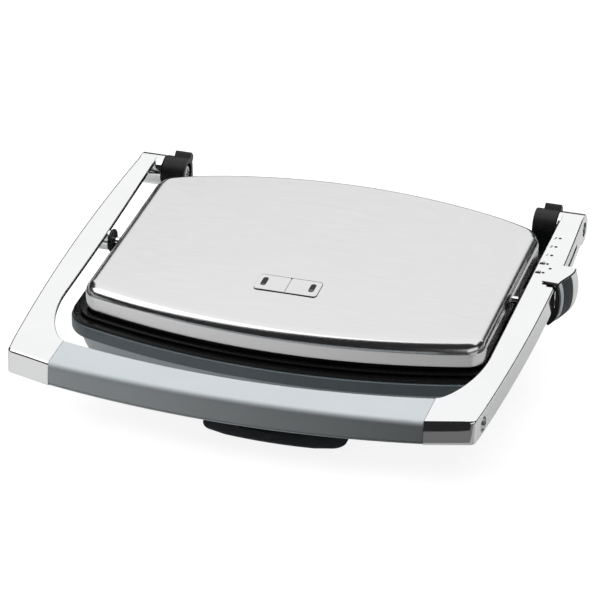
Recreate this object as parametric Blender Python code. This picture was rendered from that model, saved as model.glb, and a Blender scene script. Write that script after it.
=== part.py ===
"""Panini press: floating ribbed hotplate under a steel lid, on two chromed arms joined by a grip.

Drawn in millimetres, then scaled to metres. X runs across the press, Y from the grip to the
hinges, Z up. Every piece hangs from the empty of the body that it belongs to.
"""
from math import atan2, cos, pi, radians, sin, sqrt

import bmesh
import bpy
from mathutils import Matrix, Vector

# ---------------------------------------------------------------- driving dimensions (mm)
UNIT = 0.001
GAP = 0.35                 # air between two pieces that touch

MID_Y = 23.0               # middle of the lid, front to back
LID_HALF_W = 158.0
LID_HALF_D = 117.0
LID_BOW_R = 522.0          # radius of the bowed front and rear edges
LID_CORNER_R = 16.0
MIN_CORNER_R = 8.0
LID_BOTTOM = 83.0
LID_SHOULDER = 9.5         # radius of the rolled top edge at the front and the sides
LID_REAR_R = 3.5           # the same along the rear
LID_REAR_START = 84.0      # the radius changes over this stretch, from the lid's middle
LID_REAR_END = 104.0
LID_TOP = 103.0            # top of the rolled edge, level with the arms
LID_DOME = 4.0             # rise of the top face, which runs out to the rear edge
SHEET = 1.2                # thickness of the lid's steel sheet

FRAME_TOP = 102.0          # top face of the arms and of the grip
FRAME_BOTTOM = 83.0
ARM_MAX_X = 188.0          # outer face of an arm where it is widest
ARM_MAX_Y = 18.0
ARM_BOW = 2.24e-4          # outer face falls in by this times the distance squared
ARM_SKIN = 3.0
ARM_INNER_X = 167.0
ARM_INNER_TAPER = 0.021
ARM_FRONT_Y = -174.5
BEND_REAR_Y = -85.0        # where an arm's inner edge starts to bend towards the grip
BEND_FRONT_PULL = (150.0, -148.4)  # the two points that shape the bend
BEND_REAR_PULL = (165.5, -122.0)
GRIP_HALF_W = 143.2
GRIP_BACK_Y = -150.0       # at the grip's ends
GRIP_FRONT_Y = -186.0
GRIP_BACK_BOW = 16.0
GRIP_FRONT_BOW = 9.5
GRIP_SAG = 3.0             # how much deeper the grip's middle is
GRIP_SKIN = 2.6
BAR_Y = -172.5             # steel bar inside the grip
ACCESS_R = 6.0             # screwdriver holes in the arms' outer faces
ACCESS_Y = -157.5
ACCESS_Z = 90.5

HINGE_Y = 149.5
HINGE_Z = 89.5
KNUCKLE_R = 12.5
KNUCKLE_IN = 144.5         # inner end of each knuckle, from the middle
KNUCKLE_OUT = 163.5
PIN_R = 4.0
BUSH_R = 6.0
LOBE_REACH = 17.2          # opening stop that stands out of each knuckle
LOBE_HALF = 4.6
LOBE_ANGLE = 43.0

PIVOT_Y = 22.0             # pins that carry the lid between the arms
PIVOT_Z = 92.0
PIVOT_PIN_R = 3.0
PIVOT_BUSH_R = 4.6
PIVOT_BOSS_R = 8.0

RIM_GROW = 11.5            # base rim, outwards from the lid's wall
RIM_TOP = 75.0
RIM_BOTTOM = 64.5
EAR_TOP = 69.0             # brackets at the rear corners that carry the hinge columns
EAR_X = 154.0
BASE_BOTTOM = 12.0
BASE_FOOT_GROW = -33.0     # outline of the base at its bottom
WALL = 2.5
COVER_THICK = 2.0
FOOT_X = 96.0
FOOT_FRONT_Y = -30.0
FOOT_REAR_Y = 86.0

PLATE_FLANGE_GROW = 10.2
UPPER_FLANGE_GROW = 4.6
UPPER_FACE = 77.95         # lowest level of the upper hotplate's ribs
LOWER_FACE = 77.3          # top level of the lower hotplate's ribs
RIB_PITCH = 17.0
RIB_COUNT = 16

TRAY_HALF_W = 57.0
TRAY_FRONT_Y = -99.5
TRAY_REAR_Y = 12.0
TRAY_TOP = 9.0
TRAY_FLOOR = 2.2
TRAY_BOW = 5.0

SLIDE_STEPS = 5
SLIDE_PITCH = 14.3
SLIDER_Y = 34.0            # front end of the height slider, at rest
SLIDER_LENGTH = 30.0
SLOT_Z = 92.0
SLOT_HALF = 1.9
SLOT_END_Y = 118.0
SLIDER_PIN_Y = 49.0

PANEL_X = -5.0             # indicator plate on the lid
PANEL_Y = -31.0
PANEL_HALF_W = 25.0
PANEL_HALF_D = 10.5
WINDOW_X = 19.0            # lamp windows, to each side of the plate's middle
WINDOW_Y = 0.7
WINDOW_HALF_W = 1.9
WINDOW_HALF_D = 4.6

CORD_X = 96.0              # where the supply cord would enter
CORD_Z = 40.0
CORD_SEAT_Y = 138.0
DRAIN_Y = -74.0
DRAIN_LOW_Y = -44.0
DRAIN_HIGH_Z = 66.0
DRAIN_LOW_Z = 16.0

RIGHT = 1
LEFT = -1
SIDES = (("left", LEFT), ("right", RIGHT))


# ---------------------------------------------------------------- materials
def material(name, colour, roughness, metallic=0.0):
    made = bpy.data.materials.new(name)
    made.use_nodes = True
    shader = made.node_tree.nodes["Principled BSDF"]
    shader.inputs["Base Color"].default_value = (*colour, 1.0)
    shader.inputs["Roughness"].default_value = roughness
    shader.inputs["Metallic"].default_value = metallic
    made.diffuse_color = (*colour, 1.0)
    return made


def make_materials():
    return {
        "brushed_steel": material("brushed_steel", (0.72, 0.72, 0.73), 0.32, 1.0),
        "chrome": material("chrome", (0.86, 0.87, 0.88), 0.08, 1.0),
        "zinc_steel": material("zinc_steel", (0.60, 0.61, 0.62), 0.35, 1.0),
        "slate_plastic": material("slate_plastic", (0.105, 0.135, 0.155), 0.42),
        "grip_plastic": material("grip_plastic", (0.36, 0.43, 0.47), 0.40),
        "strip_plastic": material("strip_plastic", (0.50, 0.58, 0.61), 0.35),
        "black_plastic": material("black_plastic", (0.018, 0.018, 0.020), 0.45),
        "tray_plastic": material("tray_plastic", (0.045, 0.050, 0.055), 0.45),
        "ceramic_coat": material("ceramic_coat", (0.020, 0.020, 0.022), 0.30),
        "rubber": material("rubber", (0.030, 0.035, 0.038), 0.75),
        "bronze": material("bronze", (0.42, 0.22, 0.11), 0.35, 1.0),
        "lens": material("lens", (0.030, 0.012, 0.010), 0.12),
        "aluminium": material("aluminium", (0.75, 0.75, 0.76), 0.30, 1.0),
        "steatite": material("steatite", (0.78, 0.76, 0.70), 0.60),
        "silicone": material("silicone", (0.24, 0.25, 0.26), 0.60),
    }


# ---------------------------------------------------------------- scene tree
def clear_scene():
    for thing in list(bpy.data.objects):
        bpy.data.objects.remove(thing, do_unlink=True)


def empty(name, place, parent=None):
    made = bpy.data.objects.new(name, None)
    bpy.context.collection.objects.link(made)
    base = parent["at"] if parent else Vector((0, 0, 0))
    made.location = (Vector(place) - base) * UNIT
    if parent:
        made.parent = parent["empty"]
    return {"empty": made, "at": Vector(place)}


def add(name, mesh_maker, mat, body, smooth=40.0):
    """Turns a bmesh drawn in design coordinates into an object that hangs from its body."""
    mesh = bpy.data.meshes.new(name)
    bmesh.ops.recalc_face_normals(mesh_maker, faces=mesh_maker.faces)
    mesh_maker.to_mesh(mesh)
    mesh_maker.free()
    mesh.transform(Matrix.Scale(UNIT, 4) @ Matrix.Translation(-body["at"]))
    made = bpy.data.objects.new(name, mesh)
    bpy.context.collection.objects.link(made)
    made.parent = body["empty"]
    if mat:
        mesh.materials.append(mat)
    if smooth:
        mesh.shade_smooth()
        mesh.set_sharp_from_angle(angle=radians(smooth))
    return made


def combine(target, helper_maker, name, body, operation="DIFFERENCE"):
    helper = add(name, helper_maker, None, body, smooth=0)
    helper.hide_render = True
    helper.display_type = "WIRE"
    step = target.modifiers.new(name, "BOOLEAN")
    step.operation = operation
    step.object = helper
    return helper


# ---------------------------------------------------------------- shapes
def loft(rings, capped=True):
    """Skins a chain of point rings; an uncapped chain closes on itself like a tyre."""
    made = bmesh.new()
    rows = [[made.verts.new(point) for point in ring] for ring in rings]
    pairs = list(zip(rows, rows[1:]))
    if not capped:
        pairs.append((rows[-1], rows[0]))
    for low, high in pairs:
        for i in range(len(low)):
            j = (i + 1) % len(low)
            made.faces.new((low[i], low[j], high[j], high[i]))
    if capped:
        made.faces.new(reversed(rows[0]))
        made.faces.new(rows[-1])
    return made


def prism(points, low, high):
    return loft([[(x, y, z) for x, y in points] for z in (low, high)])


def prism_x(points, low, high):
    """Extrudes a (y, z) outline along X."""
    return loft([[(x, y, z) for y, z in points] for x in (low, high)])


def box(x_range, y_range, z_range):
    (x0, x1), (y0, y1) = x_range, y_range
    return prism([(x0, y0), (x1, y0), (x1, y1), (x0, y1)], *z_range)


def arc(centre, radius, start, end, steps):
    """Points from start to end, in degrees, both ends included."""
    turns = [radians(start + (end - start) * i / steps) for i in range(steps + 1)]
    return [(centre[0] + radius * cos(t), centre[1] + radius * sin(t)) for t in turns]


def round_rect(half_w, half_d, radius, centre=(0, 0), steps=3):
    x, y = half_w - radius, half_d - radius
    points = []
    for start, cx, cy in ((0, x, y), (90, -x, y), (180, -x, -y), (270, x, -y)):
        points += arc((centre[0] + cx, centre[1] + cy), radius, start, start + 90, steps)
    return points


def turned(profile, centre, axis="Z", steps=24):
    """Spins a chain of (radius, height) points that starts and ends on the axis or closes a ring."""
    rings = []
    for radius, height in profile:
        ring = []
        for i in range(steps):
            t = 2 * pi * i / steps
            a, b = radius * cos(t), radius * sin(t)
            point = {"Z": (a, b, height), "X": (height, a, b)}[axis]
            ring.append(tuple(p + c for p, c in zip(point, centre)))
        rings.append(ring)
    return rings


def rod(radius, low, high, centre, axis="Z", steps=24):
    """A cylinder along an axis; low and high are measured from the centre point."""
    return loft(turned([(radius, low), (radius, high)], centre, axis, steps))


def rod_y(radius, low, high, centre, steps=20):
    """A cylinder along Y through (x, z)."""
    rings = turned([(radius, low), (radius, high)], (0, 0, 0), "Z", steps)
    return loft([[(x + centre[0], z, y + centre[1]) for x, y, z in ring] for ring in rings])


def sleeve(outer, inner, low, high, centre, axis="Z", steps=24):
    profile = [(outer, low), (outer, high), (inner, high), (inner, low)]
    return loft(turned(profile, centre, axis, steps), capped=False)


def outline(grow, z, bow_steps=8, corner_steps=4):
    """The press's plan: straight sides, bowed front and rear, rounded corners."""
    half_w, half_d = LID_HALF_W + grow, LID_HALF_D + grow
    bow_r = LID_BOW_R + grow
    corner_r = max(LID_CORNER_R + grow, MIN_CORNER_R)
    bow_y = bow_r - half_d
    cx = half_w - corner_r
    cy = bow_y - sqrt((bow_r - corner_r) ** 2 - cx ** 2)
    lean = atan2(cx, bow_y - cy)
    half = []
    for i in range(bow_steps + 1):
        t = -lean + 2 * lean * i / bow_steps
        half.append((bow_r * sin(t), bow_y - bow_r * cos(t)))
    for i in range(1, corner_steps + 1):
        t = lean + (pi / 2 - lean) * i / corner_steps
        half.append((cx + corner_r * sin(t), cy - corner_r * cos(t)))
    half.insert(0, (-half[-1][0], half[-1][1]))
    left_corner = []
    for i in range(1, corner_steps):
        t = pi / 2 + (lean - pi / 2) * i / corner_steps
        left_corner.append((-cx - corner_r * sin(t), cy - corner_r * cos(t)))
    front = half[:1] + left_corner + half[1:]
    rear = [(-x, -y) for x, y in front]
    return [(x, MID_Y + y, z) for x, y in front + rear]


def outline_2d(grow):
    return [(x, y) for x, y, _ in outline(grow, 0.0)]


def edge_y(grow, x):
    """How far the bowed outline reaches from the middle at a given x."""
    bow_r = LID_BOW_R + grow
    return LID_HALF_D + grow - bow_r + sqrt(bow_r ** 2 - x ** 2)


def arm_outer_x(y):
    return ARM_MAX_X - ARM_BOW * (y - ARM_MAX_Y) ** 2


def arm_inner_x(y, sign):
    """Inner edge of an arm's top face; the left arm narrows a little towards its hinge."""
    return ARM_INNER_X + (ARM_INNER_TAPER * max(y, 0.0) if sign < 0 else 0.0)


# ---------------------------------------------------------------- lid
def shoulder_radius(y):
    """Radius of the rolled edge: large at the front and the sides, small along the rear."""
    t = (y - MID_Y - LID_REAR_START) / (LID_REAR_END - LID_REAR_START)
    t = min(max(t, 0.0), 1.0)
    return LID_SHOULDER + (LID_REAR_R - LID_SHOULDER) * t * t * (3 - 2 * t)


def shoulder(sunk, steps):
    """Rings of the rolled edge, from the wall up to the top face, sunk below the outside."""
    radii = [shoulder_radius(y) for _, y, _ in outline(0, 0)]
    rings = []
    for k in range(steps + 1):
        turn = pi / 2 * k / steps
        ring = []
        for i, radius in enumerate(radii):
            inner = radius - sunk
            x, y, _ = outline(-radius, 0)[i]
            top = lid_top_z(x, y)
            x, y, _ = outline(inner * cos(turn) - radius, 0)[i]
            ring.append((x, y, top - radius + inner * sin(turn)))
        rings.append(ring)
    return rings


def dome_rings(edge, sunk, shares):
    """Rings that shrink from the rolled edge towards the middle and follow the top face."""
    rings = []
    for share in shares:
        ring = [(x * share, MID_Y + (y - MID_Y) * share) for x, y, _ in edge]
        rings.append([(x, y, lid_top_z(x, y) - sunk) for x, y in ring])
    return rings


def make_lid_cover(mats, lid):
    dome_shares = (0.93, 0.8, 0.62, 0.4, 0.18)
    outer = [outline(-1.6, LID_BOTTOM), outline(-0.3, LID_BOTTOM + 0.8), outline(0, LID_BOTTOM + 2.2)]
    outer += shoulder(0, 5)
    outer += dome_rings(outer[-1], 0, dome_shares)
    inner = [outline(-1.6 - SHEET * 0.5, LID_BOTTOM + SHEET), outline(-SHEET, LID_BOTTOM + 2.6)]
    inner += shoulder(SHEET, 4)
    inner += dome_rings(inner[-1], SHEET, dome_shares)
    cover = add("lid_cover", loft(inner[::-1] + outer), mats["brushed_steel"], lid)
    for side, sign in SIDES:
        hole = rod(PIVOT_PIN_R + GAP, -6, 6, (sign * LID_HALF_W, PIVOT_Y, PIVOT_Z), "X", 16)
        combine(cover, hole, f"cut_lid_{side}", lid)
        window = window_prism(sign, 0.7, 98, 112)
        combine(cover, window, f"cut_window_{side}", lid)
    return cover


def window_prism(sign, spare, low, high):
    """An upright slug with the shape of a lamp window, spare millimetres larger all round."""
    place = (PANEL_X + sign * WINDOW_X, PANEL_Y + WINDOW_Y)
    half_w, half_d = WINDOW_HALF_W + spare, WINDOW_HALF_D + spare
    return prism(round_rect(half_w, half_d, half_w - 0.1, place), low, high)


def dome_share(x, y):
    """How much of the dome's height is left: all from the middle to the rear, none at the sides."""
    across = min(abs(x) / (LID_HALF_W - LID_SHOULDER), 1.0)
    along = min(max(MID_Y - y, 0.0) / edge_y(-LID_SHOULDER, x), 1.0)
    return (1 - across ** 2) * (1 - along ** 2)


def lid_top_z(x, y):
    """Height of the lid's domed face."""
    return LID_TOP + LID_DOME * dome_share(x, y)


def make_lid_pieces(mats, lid):
    make_lid_cover(mats, lid)

    face = UPPER_FACE
    ring = [(-0.9, face + 3.0), (-0.7, 82.6), (-3.4, 82.65), (-3.4, 88.6), (-6.4, 88.6),
            (-6.4, face + 3.0)]
    add("lid_frame", loft([outline(g, z) for g, z in ring], capped=False),
        mats["black_plastic"], lid)

    flange = UPPER_FLANGE_GROW
    chain = [(-10, face + 7.7), (-6.9, face + 6.7), (-6.9, face + 2.65), (flange - 0.4, face + 2.6),
             (flange, face + 2.1), (flange, face + 0.5), (flange - 0.6, face - 0.05),
             (-4.0, face - 0.05), (-7.0, face + 3.5)]
    plate = add("upper_plate", loft([outline(g, z) for g, z in chain]),
                mats["ceramic_coat"], lid)
    combine(plate, rib_set(face + 3.9, face, -9.5), "add_upper_ribs", lid, "UNION")

    pan = [(-20, 95.6), (-16, 95.6), (-15, 89.3), (-14.3, 89.3), (-15.2, 96.3), (-20, 96.3)]
    add("upper_reflector", loft([outline(g, z) for g, z in pan]), mats["aluminium"], lid)
    add_element("upper_element", 89.6, mats["zinc_steel"], lid)

    x, y = PANEL_X, PANEL_Y
    top = lid_top_z(x, y) + 0.35
    plate = prism(round_rect(PANEL_HALF_W, PANEL_HALF_D, 3.0, (x, y)), 0, 0.9)
    bmesh.ops.translate(plate, verts=plate.verts, vec=(0, 0, top))
    tilt_to_dome(plate, x, y, top)
    indicator = add("indicator_plate", plate, mats["brushed_steel"], lid)
    for side, sign in SIDES:
        combine(indicator, window_prism(sign, 0.35, 98, 112), f"cut_indicator_{side}", lid)
        lens_z = lid_top_z(x + sign * WINDOW_X, y)
        lens = window_prism(sign, 0.0, lens_z - 4.5, lens_z + 0.9)
        name = "power_lens" if sign < 0 else "ready_lens"
        add(name, lens, mats["lens"], lid)
    board = box((x - 30, x + 30), (y - 9, y + 9), (97.2, 98.8))
    lamp_board = add("lamp_board", board, mats["tray_plastic"], lid)
    for side, sign in SIDES:
        lamp = rod(1.6, 98.3, 101.2, (x + sign * WINDOW_X, y, 0), "Z", 10)
        combine(lamp_board, lamp, f"add_lamp_{side}", lid, "UNION")
    add("upper_thermostat", loft(turned([(9, 86.0), (9, 88.3), (6.5, 88.3), (6.5, 92)],
                                        (0, 40, 0), "Z", 16)), mats["steatite"], lid)
    for side, sign in SIDES:
        pin = turned([(5.0, 148.6), (5.0, 151.0), (PIVOT_PIN_R, 151.0), (PIVOT_PIN_R, 178.0)],
                     (0, PIVOT_Y, PIVOT_Z), "X", 16)
        pin = [[(sign * px, py, pz) for px, py, pz in ring] for ring in pin]
        add(f"pivot_pin_{side}", loft(pin), mats["chrome"], lid)


def tilt_to_dome(plate, x, y, top):
    """Leans a flat piece so that it lies on the domed lid around (x, y)."""
    reach = 8.0
    slope = (lid_top_z(x, y + reach) - lid_top_z(x, y - reach)) / (2 * reach)
    about = Matrix.Translation((x, y, top))
    turn = about @ Matrix.Rotation(atan2(slope, 1.0), 4, "X") @ about.inverted()
    bmesh.ops.transform(plate, matrix=turn, verts=plate.verts)


def rib_set(root_z, tip_z, grow):
    """Parallel grill ribs, front to back, as one set of separate trapezoid bars."""
    made = bmesh.new()
    for i in range(RIB_COUNT):
        x = (i - (RIB_COUNT - 1) / 2) * RIB_PITCH
        reach = edge_y(grow, abs(x)) - 4.0
        low = [(x - 3.2, MID_Y - reach), (x + 3.2, MID_Y - reach),
               (x + 3.2, MID_Y + reach), (x - 3.2, MID_Y + reach)]
        high = [(x - 1.8, MID_Y - reach + 2), (x + 1.8, MID_Y - reach + 2),
                (x + 1.8, MID_Y + reach - 2), (x - 1.8, MID_Y + reach - 2)]
        rows = [[made.verts.new((a, b, z)) for a, b in ring]
                for ring, z in ((low, root_z), (high, tip_z))]
        for k in range(4):
            made.faces.new((rows[0][k], rows[0][(k + 1) % 4], rows[1][(k + 1) % 4], rows[1][k]))
        made.faces.new(reversed(rows[0]))
        made.faces.new(rows[1])
    return made


def add_element(name, z, mat, body):
    """Tubular heater bent into one open loop with two legs that turn towards the rear."""
    radius = 3.2
    points = []
    half_w, front_y, rear_y, bend = 118.0, -38.0, 74.0, 24.0
    points += [(-18.0, 104.0), (-18.0, rear_y + 14)]
    points += arc((-32.0, rear_y + 14), 14.0, 0, -90, 5)[1:]
    points += arc((-half_w + bend, rear_y - bend), bend, 90, 180, 5)
    points += arc((-half_w + bend, front_y + bend), bend, 180, 270, 5)
    points += arc((half_w - bend, front_y + bend), bend, 270, 360, 5)
    points += arc((half_w - bend, rear_y - bend), bend, 0, 90, 5)
    points += arc((32.0, rear_y + 14), 14.0, 270, 180, 5)
    points += [(18.0, 104.0)]
    curve = bpy.data.curves.new(name, "CURVE")
    curve.dimensions = "3D"
    curve.bevel_depth = radius * UNIT
    curve.bevel_resolution = 1
    curve.use_fill_caps = True
    path = curve.splines.new("POLY")
    path.points.add(len(points) - 1)
    for knot, (x, y) in zip(path.points, points):
        spot = (Vector((x, y, z)) - body["at"]) * UNIT
        knot.co = (*spot, 1.0)
    curve.materials.append(mat)
    made = bpy.data.objects.new(name, curve)
    bpy.context.collection.objects.link(made)
    made.parent = body["empty"]
    return made


# ---------------------------------------------------------------- base
def make_base(mats, base):
    foot = BASE_FOOT_GROW
    outer = [(foot, BASE_BOTTOM), (-20, 21), (-10, 33), (-3.5, 46), (0, 56), (2, RIM_BOTTOM),
             (RIM_GROW - 0.8, RIM_BOTTOM), (RIM_GROW, RIM_BOTTOM + 0.8), (RIM_GROW, RIM_TOP - 1.2),
             (RIM_GROW - 1.0, RIM_TOP)]
    inner = [(6.8, RIM_TOP), (6.8, 67.5), (2 - WALL, RIM_BOTTOM), (-3.5 - WALL, 46),
             (-10 - WALL, 33), (foot - WALL, BASE_BOTTOM)]
    housing = add("base_housing", loft([outline(g, z) for g, z in outer + inner], capped=False),
                  mats["slate_plastic"], base)
    for side, sign in SIDES:
        sections = [(8.0, 8.0, 120.0, 34.0), (11.0, 13.0, 129.0, 44.0), (12.5, 20.0, 139.0, 55.0),
                    (13.0, 22.5, 141.0, 60.0), (13.0, 22.5, 141.0, EAR_TOP - 1.0),
                    (12.0, 21.5, 141.0, EAR_TOP)]
        ear = loft([[(x, y, z) for x, y in round_rect(w, d, 5.0, (sign * EAR_X, mid))]
                    for w, d, mid, z in sections])
        combine(housing, ear, f"add_ear_{side}", base, "UNION")
        for x, y, where in ((104.0, -28.0, "front"), (104.0, 82.0, "rear")):
            boss = rod(5.5, BASE_BOTTOM, 26, (sign * (x + 15), y, 0), "Z", 16)
            combine(housing, boss, f"add_boss_{where}_{side}", base, "UNION")
            hole = rod(1.9, BASE_BOTTOM - 2, 22, (sign * (x + 15), y, 0), "Z", 12)
            combine(housing, hole, f"cut_boss_{where}_{side}", base)
    seat = prism_x(round_rect(14.0, 14.0, 4.0, (CORD_SEAT_Y - 14.0, CORD_Z)), CORD_X - 15, CORD_X + 15)
    combine(housing, seat, "add_inlet_seat", base, "UNION")
    hollow = prism_x(round_rect(11.5, 11.5, 3.0, (CORD_SEAT_Y - 14.0, CORD_Z)),
                     CORD_X - 12.5, CORD_X + 12.5)
    combine(housing, hollow, "cut_inlet_hollow", base)
    combine(housing, rod_y(7.2, CORD_SEAT_Y - 30, CORD_SEAT_Y + 10, (CORD_X, CORD_Z)),
            "cut_inlet", base)

    cover_z = BASE_BOTTOM - GAP
    cover = add("base_cover", prism(outline_2d(foot), cover_z - COVER_THICK, cover_z),
                mats["black_plastic"], base)
    for row, y in enumerate((30.0, 42.0, 54.0)):
        for k in range(4):
            slot = prism(round_rect(9, 1.8, 1.2, ((k - 1.5) * 28.0, y), 1), 6, 14)
            combine(cover, slot, f"cut_vent_{row}_{k}", base)
    for side, sign in SIDES:
        for where, y in (("front", FOOT_FRONT_Y), ("rear", FOOT_REAR_Y)):
            hole = rod(3.6, 6, 14, (sign * FOOT_X, y, 0), "Z", 16)
            combine(cover, hole, f"cut_foot_{where}_{side}", base)
            profile = [(8.2, 0), (9.0, 1.0), (9.6, cover_z - COVER_THICK - GAP),
                       (3.2, cover_z - COVER_THICK - GAP), (3.2, cover_z + GAP),
                       (5.0, cover_z + GAP), (2.4, cover_z + 4.5)]
            add(f"foot_{where}_{side}", loft(turned(profile, (sign * FOOT_X, y, 0), "Z", 20)),
                mats["rubber"], base)
        for x, y, where in ((119.0, -28.0, "front"), (119.0, 82.0, "rear")):
            hole = rod(1.9, 6, 14, (sign * x, y, 0), "Z", 12)
            combine(cover, hole, f"cut_screw_{where}_{side}", base)
            profile = [(3.4, 7.6), (3.4, cover_z - COVER_THICK - GAP),
                       (1.5, cover_z - COVER_THICK - GAP), (1.5, 20)]
            add(f"base_screw_{where}_{side}", loft(turned(profile, (sign * x, y, 0), "Z", 12)),
                mats["zinc_steel"], base)
    drain = rod(7.0, 6, 14, (0, DRAIN_LOW_Y + 1.0, 0), "Z", 16)
    combine(cover, drain, "cut_cover_drain", base)


def make_base_insides(mats, base):
    face = LOWER_FACE
    flange = PLATE_FLANGE_GROW
    chain = [(-9, face - 7.1), (-4, face - 6.3), (-3.2, RIM_TOP + 0.3), (flange - 0.5, RIM_TOP + GAP),
             (flange, RIM_TOP + 0.9), (flange, face - 0.4), (flange - 0.6, face + 0.2),
             (-2.5, face + 0.2), (-5.5, face - 3.5)]
    plate = add("lower_plate", loft([outline(g, z) for g, z in chain]), mats["ceramic_coat"], base)
    combine(plate, rib_set(face - 3.8, face, -13.0), "add_lower_ribs", base, "UNION")
    combine(plate, rod(5.2, 62, 82, (0, DRAIN_Y, 0), "Z", 16), "cut_plate_drain", base)

    drop = Vector((0, DRAIN_LOW_Y - DRAIN_Y, DRAIN_LOW_Z - DRAIN_HIGH_Z))
    tube = sleeve(6.0, 4.6, 0, drop.length, (0, 0, 0), "Z", 16)
    turn = Vector((0, 0, 1)).rotation_difference(drop).to_matrix()
    bmesh.ops.rotate(tube, verts=tube.verts, matrix=turn)
    bmesh.ops.translate(tube, verts=tube.verts, vec=(0, DRAIN_Y, DRAIN_HIGH_Z))
    add("drain_tube", tube, mats["silicone"], base)

    pan = [(-34, 56.6), (-28, 56.6), (-22, 62.1), (-21.3, 62.1), (-27.6, 55.9), (-34, 55.9)]
    reflector = add("lower_reflector", loft([outline(g, z) for g, z in pan]),
                    mats["aluminium"], base)
    slot = prism(round_rect(12.0, 22.0, 8.0, (0, -66.0)), 50, 66)
    combine(reflector, slot, "cut_reflector_drain", base)
    add_element("lower_element", 65.2, mats["zinc_steel"], base)
    add("lower_thermostat", loft(turned([(9, 67.4), (9, 69.8)], (0, 40, 0), "Z", 16)),
        mats["steatite"], base)

    fuse = prism_x(round_rect(3.0, 3.0, 2.4, (0, 0), 3), -16, 16)
    bmesh.ops.translate(fuse, verts=fuse.verts, vec=(60, 22, 46.0))
    add("thermal_fuse", fuse, mats["silicone"], base)
    block = add("terminal_block", box((CORD_X - 24, CORD_X + 10), (66, 80), (16, 29)),
                mats["steatite"], base)
    for k in range(3):
        hole = rod(2.6, 22, 32, (CORD_X - 18 + 11 * k, 73, 0), "Z", 12)
        combine(block, hole, f"cut_terminal_{k}", base)

    profile = [(10.0, 3.6), (10.5, 0.9), (10.5, GAP), (6.8, GAP), (6.8, -5.0), (3.8, -5.0),
               (3.8, 3.6)]
    rings = [[(x + CORD_X, CORD_SEAT_Y + z, CORD_Z - y) for x, y, z in ring]
             for ring in turned(profile, (0, 0, 0), "Z", 20)]
    add("cord_gland", loft(rings, capped=False), mats["rubber"], base)


def knuckle_outline():
    """Side view of a hinge column: a round head on a straight leg, as (y, z) points."""
    head = arc((HINGE_Y, HINGE_Z), KNUCKLE_R, 0, 180, 16)
    leg = EAR_TOP + GAP
    return head + [(HINGE_Y - KNUCKLE_R, leg), (HINGE_Y + KNUCKLE_R, leg)]


def lobe_outline():
    """Side view of the opening stop: a round-cornered bar that leans up and back."""
    tip = LOBE_REACH
    shape = [(0.0, -LOBE_HALF)]
    shape += arc((tip - 3.0, -LOBE_HALF + 3.0), 3.0, -90, 0, 3)
    shape += arc((tip - 2.6, LOBE_HALF - 2.6), 2.6, 0, 90, 3)
    shape += [(0.0, LOBE_HALF)]
    lean = radians(LOBE_ANGLE)
    return [(HINGE_Y + a * cos(lean) - b * sin(lean), HINGE_Z + a * sin(lean) + b * cos(lean))
            for a, b in shape]


def make_hinges(mats, base, arms):
    for side, sign in SIDES:
        low, high = sorted((sign * KNUCKLE_IN, sign * KNUCKLE_OUT))
        column = add(f"hinge_column_{side}", prism_x(knuckle_outline(), low, high),
                     mats["black_plastic"], base)
        combine(column, prism_x(lobe_outline(), low + 5.6, high - 0.05), f"add_lobe_{side}",
                base, "UNION")
        peg = prism(round_rect(6.0, 8.0, 1.5, (sign * EAR_X, HINGE_Y)), 61, 72)
        combine(column, peg, f"add_peg_{side}", base, "UNION")
        socket = prism(round_rect(6.4, 8.4, 1.6, (sign * EAR_X, HINGE_Y)), 60.6, 75)
        combine(bpy.data.objects["base_housing"], socket, f"cut_socket_{side}", base)
        centre = (0, HINGE_Y, HINGE_Z)
        recess = rod(8.4, sign * KNUCKLE_IN - 3.2, sign * KNUCKLE_IN + 3.2, centre, "X", 24)
        combine(column, recess, f"cut_recess_{side}", base)
        hole = rod(PIN_R + GAP, low - 4, high + 4, centre, "X", 16)
        combine(column, hole, f"cut_hinge_{side}", base)

        seat = KNUCKLE_IN + 3.2 - GAP
        pin = turned([(5.2, seat - 2.4), (6.6, seat - 1.4), (6.6, seat), (PIN_R, seat),
                      (PIN_R, 179.0)], centre, "X", 20)
        pin = [[(sign * x, y, z) for x, y, z in ring] for ring in pin]
        add(f"hinge_pin_{side}", loft(pin), mats["zinc_steel"], base)

        bush = sleeve(BUSH_R, PIN_R + 0.05, 164.3, 176.0, centre, "X", 20)
        if sign < 0:
            bmesh.ops.scale(bush, verts=bush.verts, vec=(-1, 1, 1))
        add(f"hinge_bush_{side}", bush, mats["bronze"], arms)


# ---------------------------------------------------------------- drip tray
def tray_outline(shrink):
    """Plan of the tray: a bowed front edge with round corners and a straight rear."""
    half_w = TRAY_HALF_W - shrink
    front, rear = TRAY_FRONT_Y + shrink, TRAY_REAR_Y - shrink
    radius = max(12.0 - shrink, 4.0)
    points = arc((-half_w + radius, front + TRAY_BOW + radius), radius, 180, 262, 5)
    bow = [(x * half_w, front + TRAY_BOW * x * x) for x in (-0.5, -0.25, 0.0, 0.25, 0.5)]
    points += bow
    points += arc((half_w - radius, front + TRAY_BOW + radius), radius, 278, 360, 5)
    points += arc((half_w - 4, rear - 4), 4.0, 0, 90, 3)
    points += arc((-half_w + 4, rear - 4), 4.0, 90, 180, 3)
    return points


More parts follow.
